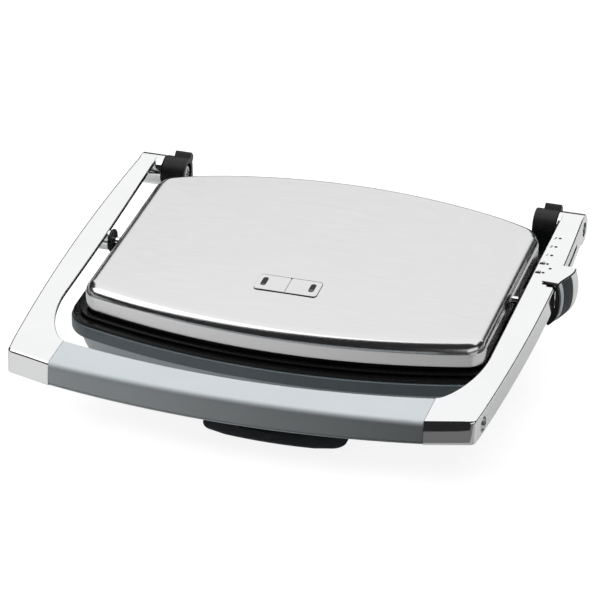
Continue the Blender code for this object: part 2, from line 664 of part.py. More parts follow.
def make_tray(mats, tray, base):
    lip = 11.0
    under = TRAY_TOP - 1.8
    chain = [(lip + 2.0, TRAY_FLOOR), (lip - 2.0, under), (0.6, under), (0.0, under + 0.5),
             (0.0, TRAY_TOP - 0.5), (0.6, TRAY_TOP), (lip, TRAY_TOP), (lip + 3.6, TRAY_FLOOR + 1.6)]
    rings = [[(x, y, z) for x, y in tray_outline(s)] for s, z in chain]
    add("drip_tray", loft(rings), mats["tray_plastic"], tray)
    for side, sign in SIDES:
        hook_in, hook_out = TRAY_HALF_W - 4.0, TRAY_HALF_W + 3.0
        section = [(hook_out, 9.3), (hook_out, 4.6), (hook_in, 4.6), (hook_in, under - 0.5),
                   (TRAY_HALF_W + 0.6, under - 0.5), (TRAY_HALF_W + 0.6, 9.3)]
        rings = [[(sign * x, y, z) for x, z in section] for y in (-52.0, 18.0)]
        add(f"tray_rail_{side}", loft(rings), mats["black_plastic"], base, smooth=0)


# ---------------------------------------------------------------- arms and grip
def arm_plan(sign):
    """Top face of an arm, as if on the right: outer edge, front corner, grip end, inner edge."""
    stations = [HINGE_Y, 125, 95, 65, 35, 0, -35, -70, -105, -135, -158]
    outer = [(arm_outer_x(y), y) for y in stations]
    corner = arc((arm_outer_x(ARM_FRONT_Y) - 4.0, ARM_FRONT_Y + 1.5), 4.0, 0, -70, 4)
    front = [(GRIP_HALF_W + GAP, GRIP_FRONT_Y)]
    straight = [(arm_inner_x(y, sign), y) for y in (-50, 0, 60, HINGE_Y)]
    return outer + corner + front + inner_bend() + straight


def inner_bend(steps=8):
    """Smooth inner edge of an arm, from the grip's rear edge round into its straight part."""
    ends = (GRIP_HALF_W + GAP, GRIP_BACK_Y + 0.2), (ARM_INNER_X, BEND_REAR_Y)
    controls = (ends[0], BEND_FRONT_PULL, BEND_REAR_PULL, ends[1])
    points = []
    for i in range(steps + 1):
        t = i / steps
        weights = ((1 - t) ** 3, 3 * t * (1 - t) ** 2, 3 * t * t * (1 - t), t ** 3)
        points.append(tuple(sum(w * q[axis] for w, q in zip(weights, controls)) for axis in (0, 1)))
    return points


def arm_shell(sign):
    """Outer wall of the arm and its front face, as a strip that follows the plan."""
    stations = [HINGE_Y, 125, 95, 65, 35, 0, -35, -70, -105, -135, -158]
    outer = [(arm_outer_x(y), y) for y in stations]
    outer += arc((arm_outer_x(ARM_FRONT_Y) - 4.0, ARM_FRONT_Y + 1.5), 4.0, 0, -70, 4)
    outer += [(GRIP_HALF_W + GAP, GRIP_FRONT_Y)]
    inner = [(GRIP_HALF_W + GAP, GRIP_FRONT_Y + 3.4)]
    inner += [(arm_outer_x(ARM_FRONT_Y) - 6.0, ARM_FRONT_Y + 1.6)]
    inner += [(arm_outer_x(y) - ARM_SKIN, y) for y in reversed(stations[:-1])]
    return [(sign * x, y) for x, y in outer + inner]


def make_arm(side, sign, mats, arms):
    plan = [(sign * x, y) for x, y in arm_plan(sign)]
    arm = add(f"{side}_arm", prism(plan, FRAME_TOP - 3.4, FRAME_TOP), mats["chrome"], arms)
    combine(arm, prism(arm_shell(sign), FRAME_BOTTOM, FRAME_TOP - 1.0), f"add_wall_{side}",
            arms, "UNION")
    centre = (0, HINGE_Y, HINGE_Z)
    inner_face = KNUCKLE_OUT + GAP
    outer_face = arm_outer_x(HINGE_Y)
    low, high = sorted((sign * inner_face, sign * outer_face))
    combine(arm, rod(KNUCKLE_R, low, high, centre, "X", 36), f"add_end_{side}", arms, "UNION")
    low, high = sorted((sign * 166.2, sign * 186.5))
    combine(arm, rod(PIVOT_BOSS_R, low, high, (0, PIVOT_Y, PIVOT_Z), "X", 24),
            f"add_pivot_boss_{side}", arms, "UNION")
    low, high = sorted((sign * (inner_face - 2), sign * 177.0))
    combine(arm, rod(BUSH_R + GAP, low, high, centre, "X", 20), f"cut_bush_{side}", arms)
    low, high = sorted((sign * 176.0, sign * 195.0))
    combine(arm, rod(ACCESS_R, low, high, centre, "X", 24), f"cut_hinge_hole_{side}", arms)
    combine(arm, rod(ACCESS_R, low, high, (0, ACCESS_Y, ACCESS_Z), "X", 24),
            f"cut_access_{side}", arms)
    low, high = sorted((sign * 160.0, sign * 179.0))
    combine(arm, rod(PIVOT_BUSH_R + GAP, low, high, (0, PIVOT_Y, PIVOT_Z), "X", 20),
            f"cut_pivot_{side}", arms)
    return arm


def make_arms(mats, arms):
    for side, sign in SIDES:
        make_arm(side, sign, mats, arms)
        low, high = sorted((sign * 166.5, sign * 178.0))
        add(f"pivot_bush_{side}",
            sleeve(PIVOT_BUSH_R, PIVOT_PIN_R + 0.05, low, high, (0, PIVOT_Y, PIVOT_Z), "X", 20),
            mats["bronze"], arms)
        low, high = sorted((sign * 163.6, sign * 165.8))
        add(f"pivot_washer_{side}",
            sleeve(PIVOT_BOSS_R + 1.0, PIVOT_PIN_R + 0.3, low, high, (0, PIVOT_Y, PIVOT_Z), "X", 24),
            mats["black_plastic"], arms)
    right = bpy.data.objects["right_arm"]
    start = SLIDER_PIN_Y - 3.0
    slot = box((182, 192), (start, SLOT_END_Y), (SLOT_Z - SLOT_HALF, SLOT_Z + SLOT_HALF))
    combine(right, slot, "cut_slider_slot", arms)

    plate = prism_x([(start - 6, 85.0), (SLOT_END_Y + 4, 85.0), (SLOT_END_Y + 4, 97.6),
                     (start - 6, 97.6)], 179.8, 181.4)
    detent = add("detent_plate", plate, mats["zinc_steel"], arms)
    slot = box((178, 186), (SLIDER_PIN_Y, SLIDER_PIN_Y + SLIDE_PITCH * (SLIDE_STEPS - 1)),
               (SLOT_Z - 2.3, SLOT_Z + 2.3))
    combine(detent, slot, "cut_detent_slot", arms)
    for k in range(SLIDE_STEPS):
        notch = rod(3.4, 178, 186, (0, SLIDER_PIN_Y + SLIDE_PITCH * k, SLOT_Z), "X", 16)
        combine(detent, notch, f"cut_notch_{k}", arms)


def grip_bow(x):
    return 1 - (x / GRIP_HALF_W) ** 2


def grip_section(x, skin):
    """Cross-section of the grip at x, shrunk by skin, as (y, z) points from front bottom up."""
    back = GRIP_BACK_Y - GRIP_BACK_BOW * grip_bow(x) - skin
    front = GRIP_FRONT_Y - GRIP_FRONT_BOW * grip_bow(x) + skin
    bottom = FRAME_BOTTOM - GRIP_SAG * grip_bow(x)
    top = FRAME_TOP - skin
    nose, heel = max(4.5 - skin, 1.0), max(2.0 - skin, 0.6)
    points = [(front, bottom)]
    points += arc((front + nose, top - nose), nose, 180, 90, 4)
    points += arc((back - heel, top - heel), heel, 90, 0, 2)
    points += [(back, bottom)]
    return points


def make_grip(mats, arms):
    steps = 14
    xs = [-GRIP_HALF_W + 2 * GRIP_HALF_W * i / steps for i in range(steps + 1)]
    seam = 2.2
    rings = []
    for x in xs:
        outer = [(x, y, max(z, bottom_of(x) + seam)) for y, z in grip_section(x, 0)]
        inner = [(x, y, max(z, bottom_of(x) + seam)) for y, z in grip_section(x, GRIP_SKIN)]
        rings.append(outer + inner[::-1])
    add("grip_upper", loft(rings), mats["grip_plastic"], arms)

    rings = []
    for x in xs:
        low = bottom_of(x)
        front = GRIP_FRONT_Y - GRIP_FRONT_BOW * grip_bow(x)
        back = GRIP_BACK_Y - GRIP_BACK_BOW * grip_bow(x)
        high = low + seam - GAP
        rings.append([(x, front + 0.2, high), (x, front + 1.2, low), (x, back - 1.2, low),
                      (x, back - 0.2, high)])
    lower = add("grip_lower", loft(rings), mats["grip_plastic"], arms)

    bar = box((-157, 157), (BAR_Y - 3, BAR_Y + 3), (88, 97))
    add("grip_bar", bar, mats["zinc_steel"], arms, smooth=0)
    for side, sign in SIDES:
        x = sign * 100.0
        hole = rod(2.0, 70, 86, (x, BAR_Y, 0), "Z", 12)
        combine(lower, hole, f"cut_grip_screw_{side}", arms)
        low = bottom_of(x)
        profile = [(3.4, low - 1.9), (3.4, low - GAP), (1.6, low - GAP), (1.6, 87.6)]
        add(f"grip_screw_{side}", loft(turned(profile, (x, BAR_Y, 0), "Z", 12)),
            mats["zinc_steel"], arms)


def bottom_of(x):
    return FRAME_BOTTOM - GRIP_SAG * grip_bow(x)


# ---------------------------------------------------------------- height slider
def slider_bulge(y):
    """How far the slider's flank stands out; it swells towards the rear for the thumb."""
    t = min(max((y - SLIDER_Y) / (SLIDER_LENGTH - 4.0), 0.0), 1.0)
    return 192.4 + 7.6 * t * t * (3 - 2 * t)


def slider_outside(y, skin=0.0, start=0):
    """Outer profile at y, from the top's inner edge down to the tucked-in foot, sunk by skin."""
    b = slider_bulge(y)
    top = FRAME_TOP + 1.6
    points = [(177.0, top), (b - 8.5, top), (b - 3.4, top - 0.4), (b - 1.4, top - 4.1),
              (b - 0.3, top - 9.1), (b, top - 16.1), (b - 0.9, top - 25.1),
              (b - 3.6, top - 32.1), (b - 8.4, top - 37.6)]
    inward = [(0, 0), (0, 0), (0, 0), (-0.85, -0.55), (-1, -0.15), (-1, 0), (-1, 0.12),
              (-0.85, 0.45), (-0.6, 0.6)]
    moved = [(x + skin * u, z + skin * v) for (x, z), (u, v) in zip(points, inward)]
    return moved[start:]


def slider_inside(y):
    """Inner profile at y, which clears the arm's top and outer faces."""
    b = slider_bulge(y)
    top = FRAME_TOP + 0.45
    return [(177.0, top), (b - 8.5, top), (b - 3.9, top), (b - 3.5, top - 4.4),
            (b - 2.6, top - 8.0), (b - 2.4, top - 15.0), (b - 3.2, top - 23.5),
            (b - 5.4, top - 29.0), (b - 9.6, top - 33.8)]


def flank_rings(stations, start, inner):
    """Rings of a C-shaped shell; a station is (y, how deep its outer face is sunk)."""
    rings = []
    for y, sunk in stations:
        profile = slider_outside(y, sunk, start) + inner(y)[::-1]
        rings.append([(x, y, z) for x, z in profile])
    return rings


def make_slider(mats, slider):
    front = SLIDER_Y
    rear = SLIDER_Y + SLIDER_LENGTH
    pad = 1.3
    stations = [(front + 2.6, pad), (front + 10, pad), (front + 18.6, pad), (front + 18.9, 0.0),
                (front + 24, 0.0), (rear - 1.5, 0.1), (rear, 0.9)]
    add("slider_body", loft(flank_rings(stations, 0, slider_inside)), mats["chrome"], slider)
    liner = [(front, 0.6), (front + 2.2, 0.6)]
    add("slider_liner", loft(flank_rings(liner, 0, slider_inside)), mats["black_plastic"], slider)

    def pad_back(y):
        return slider_outside(y, pad - GAP, 3)

    strip = [(front + 2.6, 0.0), (front + 5.6, 0.0)]
    add("slider_strip", loft(flank_rings(strip, 3, pad_back)), mats["strip_plastic"], slider)
    grip = [(front + 6.0, 0.0), (front + 12, -0.3), (front + 18.4, 0.0)]
    add("slider_grip", loft(flank_rings(grip, 3, pad_back)), mats["rubber"], slider)

    centre = (0, SLIDER_PIN_Y, SLOT_Z)
    pin = turned([(2.8, 177.2), (2.8, 179.2), (1.5, 179.2), (1.5, 189.3), (3.2, 189.3),
                  (3.2, 192.9)], centre, "X", 12)
    add("slider_pin", loft(pin), mats["zinc_steel"], slider)


# ---------------------------------------------------------------- assembly
def main():
    clear_scene()
    mats = make_materials()
    root = empty("press_origin", (0, 0, 0))
    slider_overhang = slider_bulge(SLIDER_Y + SLIDER_LENGTH) - ARM_MAX_X
    front_end = GRIP_FRONT_Y - GRIP_FRONT_BOW
    rear_end = max(y for y, _ in knuckle_outline() + lobe_outline())
    root["empty"].location = (-slider_overhang / 2 * UNIT, -(front_end + rear_end) / 2 * UNIT, 0)
    base = empty("base_body", (0, 0, 0), root)
    tray = empty("tray_body", (0, TRAY_FRONT_Y, TRAY_TOP), root)
    arms = empty("arm_axis", (0, HINGE_Y, HINGE_Z), root)
    slider = empty("slider_body_axis", (ARM_MAX_X, SLIDER_PIN_Y, SLOT_Z), arms)
    lid = empty("lid_axis", (0, PIVOT_Y, PIVOT_Z), arms)
    make_base(mats, base)
    make_base_insides(mats, base)
    make_hinges(mats, base, arms)
    make_tray(mats, tray, base)
    make_arms(mats, arms)
    make_grip(mats, arms)
    make_slider(mats, slider)
    make_lid_pieces(mats, lid)


main()
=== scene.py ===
"""Looks of the panini press: fine shells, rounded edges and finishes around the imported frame.

Shapes are drawn in millimetres. X runs across the press from its middle, Y from the grip to the
hinges, Z up from the table. ORIGIN turns them into the frame's metres.
"""

from math import atan2, cos, pi, radians, sin, sqrt

import bmesh
import bpy
from mathutils import Matrix, Vector


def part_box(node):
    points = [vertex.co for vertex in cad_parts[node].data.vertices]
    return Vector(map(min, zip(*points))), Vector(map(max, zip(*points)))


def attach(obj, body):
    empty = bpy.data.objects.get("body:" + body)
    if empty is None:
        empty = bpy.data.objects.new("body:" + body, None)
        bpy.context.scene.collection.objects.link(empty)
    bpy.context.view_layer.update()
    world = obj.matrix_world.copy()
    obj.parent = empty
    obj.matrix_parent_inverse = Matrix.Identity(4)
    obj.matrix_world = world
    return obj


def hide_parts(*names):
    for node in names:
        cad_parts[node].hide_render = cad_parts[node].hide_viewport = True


MM = 0.001
MID_Y = 23.0  # middle of the lid, front to back

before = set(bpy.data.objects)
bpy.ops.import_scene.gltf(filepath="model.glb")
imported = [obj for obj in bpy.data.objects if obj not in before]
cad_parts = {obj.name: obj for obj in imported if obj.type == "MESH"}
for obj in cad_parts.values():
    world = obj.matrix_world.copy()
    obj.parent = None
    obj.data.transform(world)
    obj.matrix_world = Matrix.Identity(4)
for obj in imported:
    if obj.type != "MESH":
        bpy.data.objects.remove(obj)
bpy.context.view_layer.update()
lid_low, lid_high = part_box("lid_cover")
ORIGIN = Vector(((lid_low.x + lid_high.x) / 2, (lid_low.y + lid_high.y) / 2 - MID_Y * MM, 0.0))


def span(node):
    """Lowest and highest corner of a CAD node, in the drawing's millimetres."""
    low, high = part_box(node)
    return (low - ORIGIN) / MM, (high - ORIGIN) / MM


def middle(node):
    """Centre of a CAD node."""
    low, high = span(node)
    return (low + high) / 2


def half(node):
    """Half of a CAD node's size."""
    low, high = span(node)
    return (high - low) / 2


# ---------------------------------------- sizes
LID_LOW, LID_HIGH = span("lid_cover")
LID_HALF_W = LID_HIGH.x
LID_HALF_D = LID_HIGH.y - MID_Y
LID_BOW_R = 522.0  # radius of the bowed front and rear edges
LID_CORNER_R = 16.0
MIN_CORNER_R = 8.0
LID_SHOULDER = 9.5  # radius of the rolled top edge at the front and the sides
LID_REAR_R = 3.5  # the same along the rear
LID_REAR_START = 84.0  # the radius changes over this stretch, from the lid's middle
LID_REAR_END = 104.0
LID_DOME = 4.0  # rise of the top face in the middle
SHEET = 1.2  # thickness of the lid's sheet
RIM_TOP = 75.0  # the base's slate rim
RIM_FOOT = 64.5
RIM_GROW = 11.5  # how far the rim stands out past the lid

FRAME_TOP = span("left_arm")[1].z
LID_TOP = FRAME_TOP + 1.0
FRAME_DEPTH = 19.0
FRAME_BOTTOM = FRAME_TOP - FRAME_DEPTH
CROWN = 2.0  # how far an arm's front face falls back at its top
INNER_EDGE_R = 0.8  # radius of an arm's top edge along its inner side
SPARE = 8.0  # an arm is drawn this much too long, then cut square at the grip
TOP_PLATE = 3.4  # thickness of an arm's top
ARM_SKIN = 3.0
ARM_MAX_Y = 18.0  # the arms are widest apart here
ARM_MAX_X = 188.0
ARM_BOW = 2.24e-4  # the outer face falls in by this times the distance squared
ARM_INNER_X = 167.0
ARM_INNER_TAPER = 0.021
ARM_FRONT_Y = -174.5
GRIP_HALF_W = span("grip_upper")[1].x
JOINT_X = GRIP_HALF_W + 0.35  # where an arm meets the grip
GRIP_BACK_Y = -150.0
GRIP_FRONT_Y = -186.0
GRIP_BACK_BOW = 16.0
GRIP_FRONT_BOW = 9.5
GRIP_SAG = 3.0
GRIP_SKIN = 2.6

EAR_X = 154.0  # middle of the brackets that carry the hinge columns
HINGE_Y, HINGE_Z = 149.5, 89.5
HINGE = (0, HINGE_Y, HINGE_Z)
PIVOT = (0, 22.0, 92.0)
KNUCKLE_R = 12.5
ACCESS_R = 6.0  # screwdriver holes in the arms' outer faces
ACCESS = (0, -157.5, 90.5)
SLIDE_PITCH = 14.3
SLIDER_PIN_Y = 49.0
SLOT_Z = 92.0
SLOT_HALF = 1.9
SLOT_END_Y = 118.0
SEAT_Z = 9.3  # where the base screws' heads bear
BUSH_END = 176.0  # outer end of the hinge bushes, where the screwdriver holes begin
OUTSIDE_X = 195.0  # past an arm's outer face

HARD_EDGE = 32.0  # degrees; the CAD's own edges are rounded if they turn more than this
SIDES = (("left", -1), ("right", 1))
CORNERS = ("front_left", "front_right", "rear_left", "rear_right")


# ---------------------------------------- finishes
MOULDED = 1400  # waves a metre in the fine texture of moulded plastic
FINISH_ROWS = (  # colour, roughness, metallic, dark share, patches, grain, spread, depth
    ("chrome", (0.90, 0.905, 0.91), 0.05, 1.0, 0.97, 30, 160, 0.02, 1.5e-6),
    ("zinc_steel", (0.62, 0.63, 0.64), 0.30, 1.0, 0.82, 90, 700, 0.10, 4e-6),
    ("grip_plastic", (0.43, 0.465, 0.48), 0.34, 0.0, 0.95, 18, MOULDED, 0.05, 4e-6),
    ("strip_plastic", (0.62, 0.70, 0.72), 0.30, 0.0, 0.94, 60, MOULDED, 0.05, 3e-6),
    ("black_plastic", (0.009, 0.009, 0.010), 0.42, 0.0, 0.75, 45, MOULDED, 0.08, 6e-6),
    ("tray_plastic", (0.060, 0.066, 0.072), 0.42, 0.0, 0.85, 35, MOULDED, 0.08, 8e-6),
    ("rubber", (0.045, 0.054, 0.058), 0.62, 0.0, 0.85, 50, 1800, 0.08, 1e-5),
    ("bronze", (0.46, 0.25, 0.12), 0.34, 1.0, 0.8, 300, 1500, 0.10, 6e-6),
    ("lens", (0.008, 0.004, 0.004), 0.14, 0.0, 0.7, 400, 1200, 0.05, 2e-6),
    ("aluminium", (0.74, 0.74, 0.75), 0.30, 1.0, 0.88, 40, (60, 900, 900), 0.08, 4e-6),
    ("steatite", (0.76, 0.74, 0.68), 0.60, 0.0, 0.9, 80, 900, 0.08, 1e-5),
    ("silicone", (0.22, 0.23, 0.24), 0.55, 0.0, 0.9, 60, 1500, 0.06, 5e-6),
    ("print", (0.003, 0.003, 0.003), 0.60, 0.0, 0.8, 500, 2500, 0.10, 1e-6))
FINISH_EXTRAS = {"black_plastic": {"Specular_IOR_Level": 0.3}, "lens": {"Coat_Weight": 0.6}}


def blank(name):
    """A new material, its node tree and its shader."""
    made = bpy.data.materials.new(name)
    made.use_nodes = True
    return made, made.node_tree, made.node_tree.nodes["Principled BSDF"]


def fill(tree, socket, value):
    """Sets a socket to a number or a colour, or links it to another node's output."""
    if isinstance(value, bpy.types.NodeSocket):
        tree.links.new(value, socket)
    elif socket.type == "RGBA":
        socket.default_value = (*value, 1.0)
    else:
        socket.default_value = value


def dress(tree, made, **sockets):
    """Fills a node's sockets. From_Min stands for the socket From Min."""
    for name, value in sockets.items():
        fill(tree, made.inputs[name.replace("_", " ")], value)
    return made


def add(tree, kind, **sockets):
    """A new shader node with its sockets filled."""
    return dress(tree, tree.nodes.new("ShaderNode" + kind), **sockets)


def here(tree):
    """The piece's own coordinates, in metres."""
    return add(tree, "TexCoord").outputs["Object"]


def part_of(tree, vector, axis):
    return add(tree, "SeparateXYZ", Vector=vector).outputs[axis]


def noise(tree, stretch, detail=4.0, roughness=0.55):
    """Noise over the piece. Stretch is how many waves a metre holds, or holds along X, Y and Z."""
    scale = stretch if isinstance(stretch, tuple) else (stretch,) * 3
    where = add(tree, "Mapping", Vector=here(tree), Scale=scale).outputs["Vector"]
    return add(tree, "TexNoise", Vector=where, Scale=1.0, Detail=detail, Roughness=roughness).outputs["Fac"]


def ranged(tree, source, low, high, start=0.3, stop=0.7):
    """A value that runs from low to high while its source runs from start to stop."""
    made = add(tree, "MapRange", Value=source, From_Min=start, From_Max=stop, To_Min=low, To_Max=high)
    return made.outputs["Result"]


def blended(tree, factor, first, second):
    """Two colours mixed by a factor. Each is a colour or another node's output."""
    made = add(tree, "Mix")
    made.data_type = "RGBA"
    a, b = (socket for socket in made.inputs if socket.type == "RGBA")
    for socket, value in ((made.inputs["Factor"], factor), (a, first), (b, second)):
        fill(tree, socket, value)
    return next(socket for socket in made.outputs if socket.type == "RGBA")


def bumped(tree, source, depth):
    """Normals of a surface in which the source stands this many metres deep."""
    return add(tree, "Bump", Strength=1.0, Distance=depth, Height=source).outputs["Normal"]


def finish(name, colour, roughness, metallic, shade, patch, grain, spread, depth, **extra):
    """Broad patches of tone, and a fine grain that varies the gloss and stands in the surface."""
    made, tree, shader = blank(name)
    broad = ranged(tree, noise(tree, patch, 3.0), 0.0, 1.0)
    tone = blended(tree, broad, colour, tuple(part * shade for part in colour))
    fine = noise(tree, grain)
    rough = ranged(tree, fine, roughness - spread, roughness + spread)
    dress(tree, shader, Base_Color=tone, Metallic=metallic, Roughness=rough, Normal=bumped(tree, fine, depth),
          **extra)
    return made


def housing_plastic_painted_bounce():
    """A slate rim over a paler body: the paler body below the rim foot is painted bounce light from the
    table.
    """
    made = finish("housing_plastic_finish", (0.130, 0.165, 0.180), 0.40, 0.0, 0.88, 20, MOULDED, 0.06, 5e-6)
    tree = made.node_tree
    shader = tree.nodes["Principled BSDF"]
    slate = shader.inputs["Base Color"].links[0].from_socket
    # painted bounce light: below the rim foot the base is painted paler than the slate
    height = ranged(tree, part_of(tree, here(tree), "Z"), 0.0, 1.0, (RIM_FOOT - 0.1) * MM, RIM_FOOT * MM)
    dress(tree, shader, Base_Color=blended(tree, height, (0.50, 0.55, 0.575), slate))
    return made


def brushed_steel():
    """Satin sheet: brushing runs across the press, and front to back on the side walls."""
    made, tree, shader = blank("brushed_steel_finish")
    across = noise(tree, (26, 1500, 1500), 5.0, 0.6)
    along = noise(tree, (1500, 26, 1500), 5.0, 0.6)
    facing = part_of(tree, add(tree, "NewGeometry").outputs["True Normal"], "X")
    size = add(tree, "Math", Value=facing)
    size.operation = "ABSOLUTE"
    sideways = ranged(tree, size.outputs["Value"], 0.0, 1.0, 0.6, 0.8)
    grain = add(tree, "Mix", Factor=sideways, A=across, B=along).outputs["Result"]
    shade = ranged(tree, grain, 0.0, 1.0, 0.25, 0.75)
    tone = blended(tree, shade, (0.775, 0.775, 0.78), (0.735, 0.735, 0.74))
    dress(tree, shader, Base_Color=tone, Metallic=1.0, Roughness=ranged(tree, grain, 0.15, 0.21),
          Normal=bumped(tree, grain, 1.2e-6))
    return made


def ceramic_coat():
    """A dark ceramic coat with fine pale flecks and a slight orange-peel surface."""
    made, tree, shader = blank("ceramic_coat_finish")
    flecks = ranged(tree, noise(tree, 2600, 2.0), 0.0, 1.0, 0.66, 0.72)
    tone = blended(tree, flecks, (0.004, 0.004, 0.0045), (0.012, 0.012, 0.013))
    peel = noise(tree, 420, 3.0)
    dress(tree, shader, Base_Color=tone, Specular_IOR_Level=0.25, Roughness=ranged(tree, peel, 0.16, 0.30),
          Normal=bumped(tree, peel, 5e-6))
    return made


def make_finishes():
    made = {"brushed_steel": brushed_steel(), "slate_plastic": housing_plastic_painted_bounce(),
            "ceramic_coat": ceramic_coat()}
    for name, *look in FINISH_ROWS:
        made[name] = finish(name + "_finish", *look, **FINISH_EXTRAS.get(name, {}))
    return made


# ---------------------------------------- shapes
def loft(rings, capped=True):
    """Skins a chain of point rings; an uncapped chain closes on itself like a tyre."""
    made = bmesh.new()
    rows = [[made.verts.new(point) for point in ring] for ring in rings]
    pairs = list(zip(rows, rows[1:]))
    if not capped:
        pairs.append((rows[-1], rows[0]))
    for low, high in pairs:
        for i in range(len(low)):
            j = (i + 1) % len(low)
            made.faces.new((low[i], low[j], high[j], high[i]))
    if capped:
        made.faces.new(reversed(rows[0]))
        made.faces.new(rows[-1])
    bmesh.ops.recalc_face_normals(made, faces=made.faces)
    return made


def arc(centre, radius, start, end, steps):
    """Points from start to end, in degrees, both ends included."""
    turns = [radians(start + (end - start) * i / steps) for i in range(steps + 1)]
    return [(centre[0] + radius * cos(t), centre[1] + radius * sin(t)) for t in turns]


def round_rect(half_w, half_d, radius, centre):
    x, y = half_w - radius, half_d - radius
    points = []
    for start, cx, cy in ((0, x, y), (90, -x, y), (180, -x, -y), (270, x, -y)):
        points += arc((centre[0] + cx, centre[1] + cy), radius, start, start + 90, 8)
    return points


def inset(points, depths):
    """Moves each point of a closed plan inwards, square to its edges, by its own depth."""
    count = len(points)
    area = sum(points[i - 1][0] * points[i][1] - points[i][0] * points[i - 1][1] for i in range(count))
    turn = 1 if area > 0 else -1
    moved = []
    for i, (x, y) in enumerate(points):
        before = Vector(points[i]) - Vector(points[i - 1])
        after = Vector(points[(i + 1) % count]) - Vector(points[i])
        a, b = before.normalized(), after.normalized()
        first, second = Vector((-a.y, a.x)) * turn, Vector((-b.y, b.x)) * turn
        miter = (first + second) / max(1 + first.dot(second), 0.35)
        moved.append((x + miter.x * depths[i], y + miter.y * depths[i]))
    return moved


def beside(x, y, moves):
    """A chain of points, each given by how far it lies from x and y."""
    return [(x + u, y + v) for u, v in moves]


def prism(plan, low, high):
    """A body with straight sides and sharp edges over a plan."""
    return loft([[(x, y, z) for x, y in plan] for z in (low, high)])


def eased(value, start, stop):
    """A smooth change from 0 to 1 while the value runs from start to stop."""
    t = min(max((value - start) / (stop - start), 0.0), 1.0)
    return t * t * (3 - 2 * t)


def slab(points, low, high, top_r, bottom_r=0.3, axis="Z", steps=5):
    """A plate with this plan whose edges are rounded."""
    rings = []
    for i in range(3):
        t = pi / 2 * (1 - i / 2)
        ring = inset(points, [bottom_r * (1 - cos(t))] * len(points))
        rings.append([(x, y, low + bottom_r * (1 - sin(t))) for x, y in ring])
    for i in range(steps + 1):
        t = pi / 2 * i / steps
        ring = inset(points, [top_r * (1 - cos(t))] * len(points))
        rings.append([(x, y, high - top_r * (1 - sin(t))) for x, y in ring])
    made = loft(rings)
    if axis == "X":
        bmesh.ops.transform(made, verts=made.verts, matrix=Matrix(
            ((0, 0, 1, 0), (1, 0, 0, 0), (0, 1, 0, 0), (0, 0, 0, 1))))
    return made


def around(centre, reach):
    return centre - reach, centre + reach


def block(x_range, y_range, z_range, edge):
    (x0, x1), (y0, y1) = x_range, y_range
    return slab([(x0, y0), (x1, y0), (x1, y1), (x0, y1)], *z_range, edge, edge, steps=3)


def lathe(profile, centre, axis="Z", steps=48, closed=False):
    """Spins a chain of (radius, height) points round an axis through the centre."""
    rings = []
    for radius, height in profile:
        ring = []
        for i in range(steps):
            t = 2 * pi * i / steps
            a, b = radius * cos(t), radius * sin(t)
            point = {"Z": (a, b, height), "X": (height, a, b), "Y": (a, height, -b)}[axis]
            ring.append(tuple(p + c for p, c in zip(point, centre)))
        rings.append(ring)
    return loft(rings, capped=not closed)


def rod(radius, low, high, centre, axis, edge):
    """A bar with rounded ends; low and high are measured from the centre point."""
    profile = [(radius - edge, low), (radius - edge * 0.3, low + edge * 0.3), (radius, low + edge),
               (radius, high - edge), (radius - edge * 0.3, high - edge * 0.3), (radius - edge, high)]
    return lathe(profile, centre, axis)


def cutter(radius, low, high, centre, axis="X"):
    return lathe([(radius, low), (radius, high)], centre, axis, 40)


def placed(name, data):
    """A new object in the scene."""
    made = bpy.data.objects.new(name, data)
    bpy.context.scene.collection.objects.link(made)
    return made


def meshed(name, shape):
    """A mesh of the shape, which is used up."""
    mesh = bpy.data.meshes.new(name)
    shape.to_mesh(mesh)
    shape.free()
    return mesh


def scrap(shape):
    return placed("scrap", meshed("scrap", shape))


def less(*shapes):
    """Boolean steps that take these shapes away."""
    return [("DIFFERENCE", shape) for shape in shapes]


def plus(*shapes):
    """Boolean steps that add these shapes."""
    return [("UNION", shape) for shape in shapes]


def carved(shape, steps):
    """The shape after Boolean steps, each an operation and the other shape."""
    body = scrap(shape)
    helpers = []
    for operation, other in steps:
        helper = scrap(other)
        step = body.modifiers.new(operation, "BOOLEAN")
        step.operation = operation
        step.object = helper
        helpers.append(helper)
    bpy.context.view_layer.update()
    result = body.evaluated_get(bpy.context.evaluated_depsgraph_get()).to_mesh()
    made = bmesh.new()
    made.from_mesh(result)
    for thing in [body, *helpers]:
        mesh = thing.data
        bpy.data.objects.remove(thing)
        bpy.data.meshes.remove(mesh)
    return made


def mirrored(shape, sign):
    """The shape as drawn for the right-hand side, or its mirror image on the left."""
    if sign < 0:
        bmesh.ops.scale(shape, verts=shape.verts, vec=(-1, 1, 1))
        bmesh.ops.reverse_faces(shape, faces=shape.faces)
    return shape


def build(name, shapes, material, body, *nodes, sharp=35.0):
    """Makes one piece from shapes in drawing millimetres, riding on its body in place of CAD nodes."""
    whole = bmesh.new()
    for shape in shapes if isinstance(shapes, list) else [shapes]:
        mesh = meshed("part_of_" + name, shape)
        whole.from_mesh(mesh)
        bpy.data.meshes.remove(mesh)
    mesh = meshed(name, whole)
    mesh.transform(Matrix.Translation(ORIGIN) @ Matrix.Scale(MM, 4))
    mesh.shade_smooth()
    mesh.set_sharp_from_angle(angle=radians(sharp))
    mesh.materials.append(FINISHES[material])
    piece = placed(name, mesh)
    piece.modifiers.new("even_normals", "WEIGHTED_NORMAL").keep_sharp = True
    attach(piece, body)
    if nodes:
        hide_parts(*nodes)


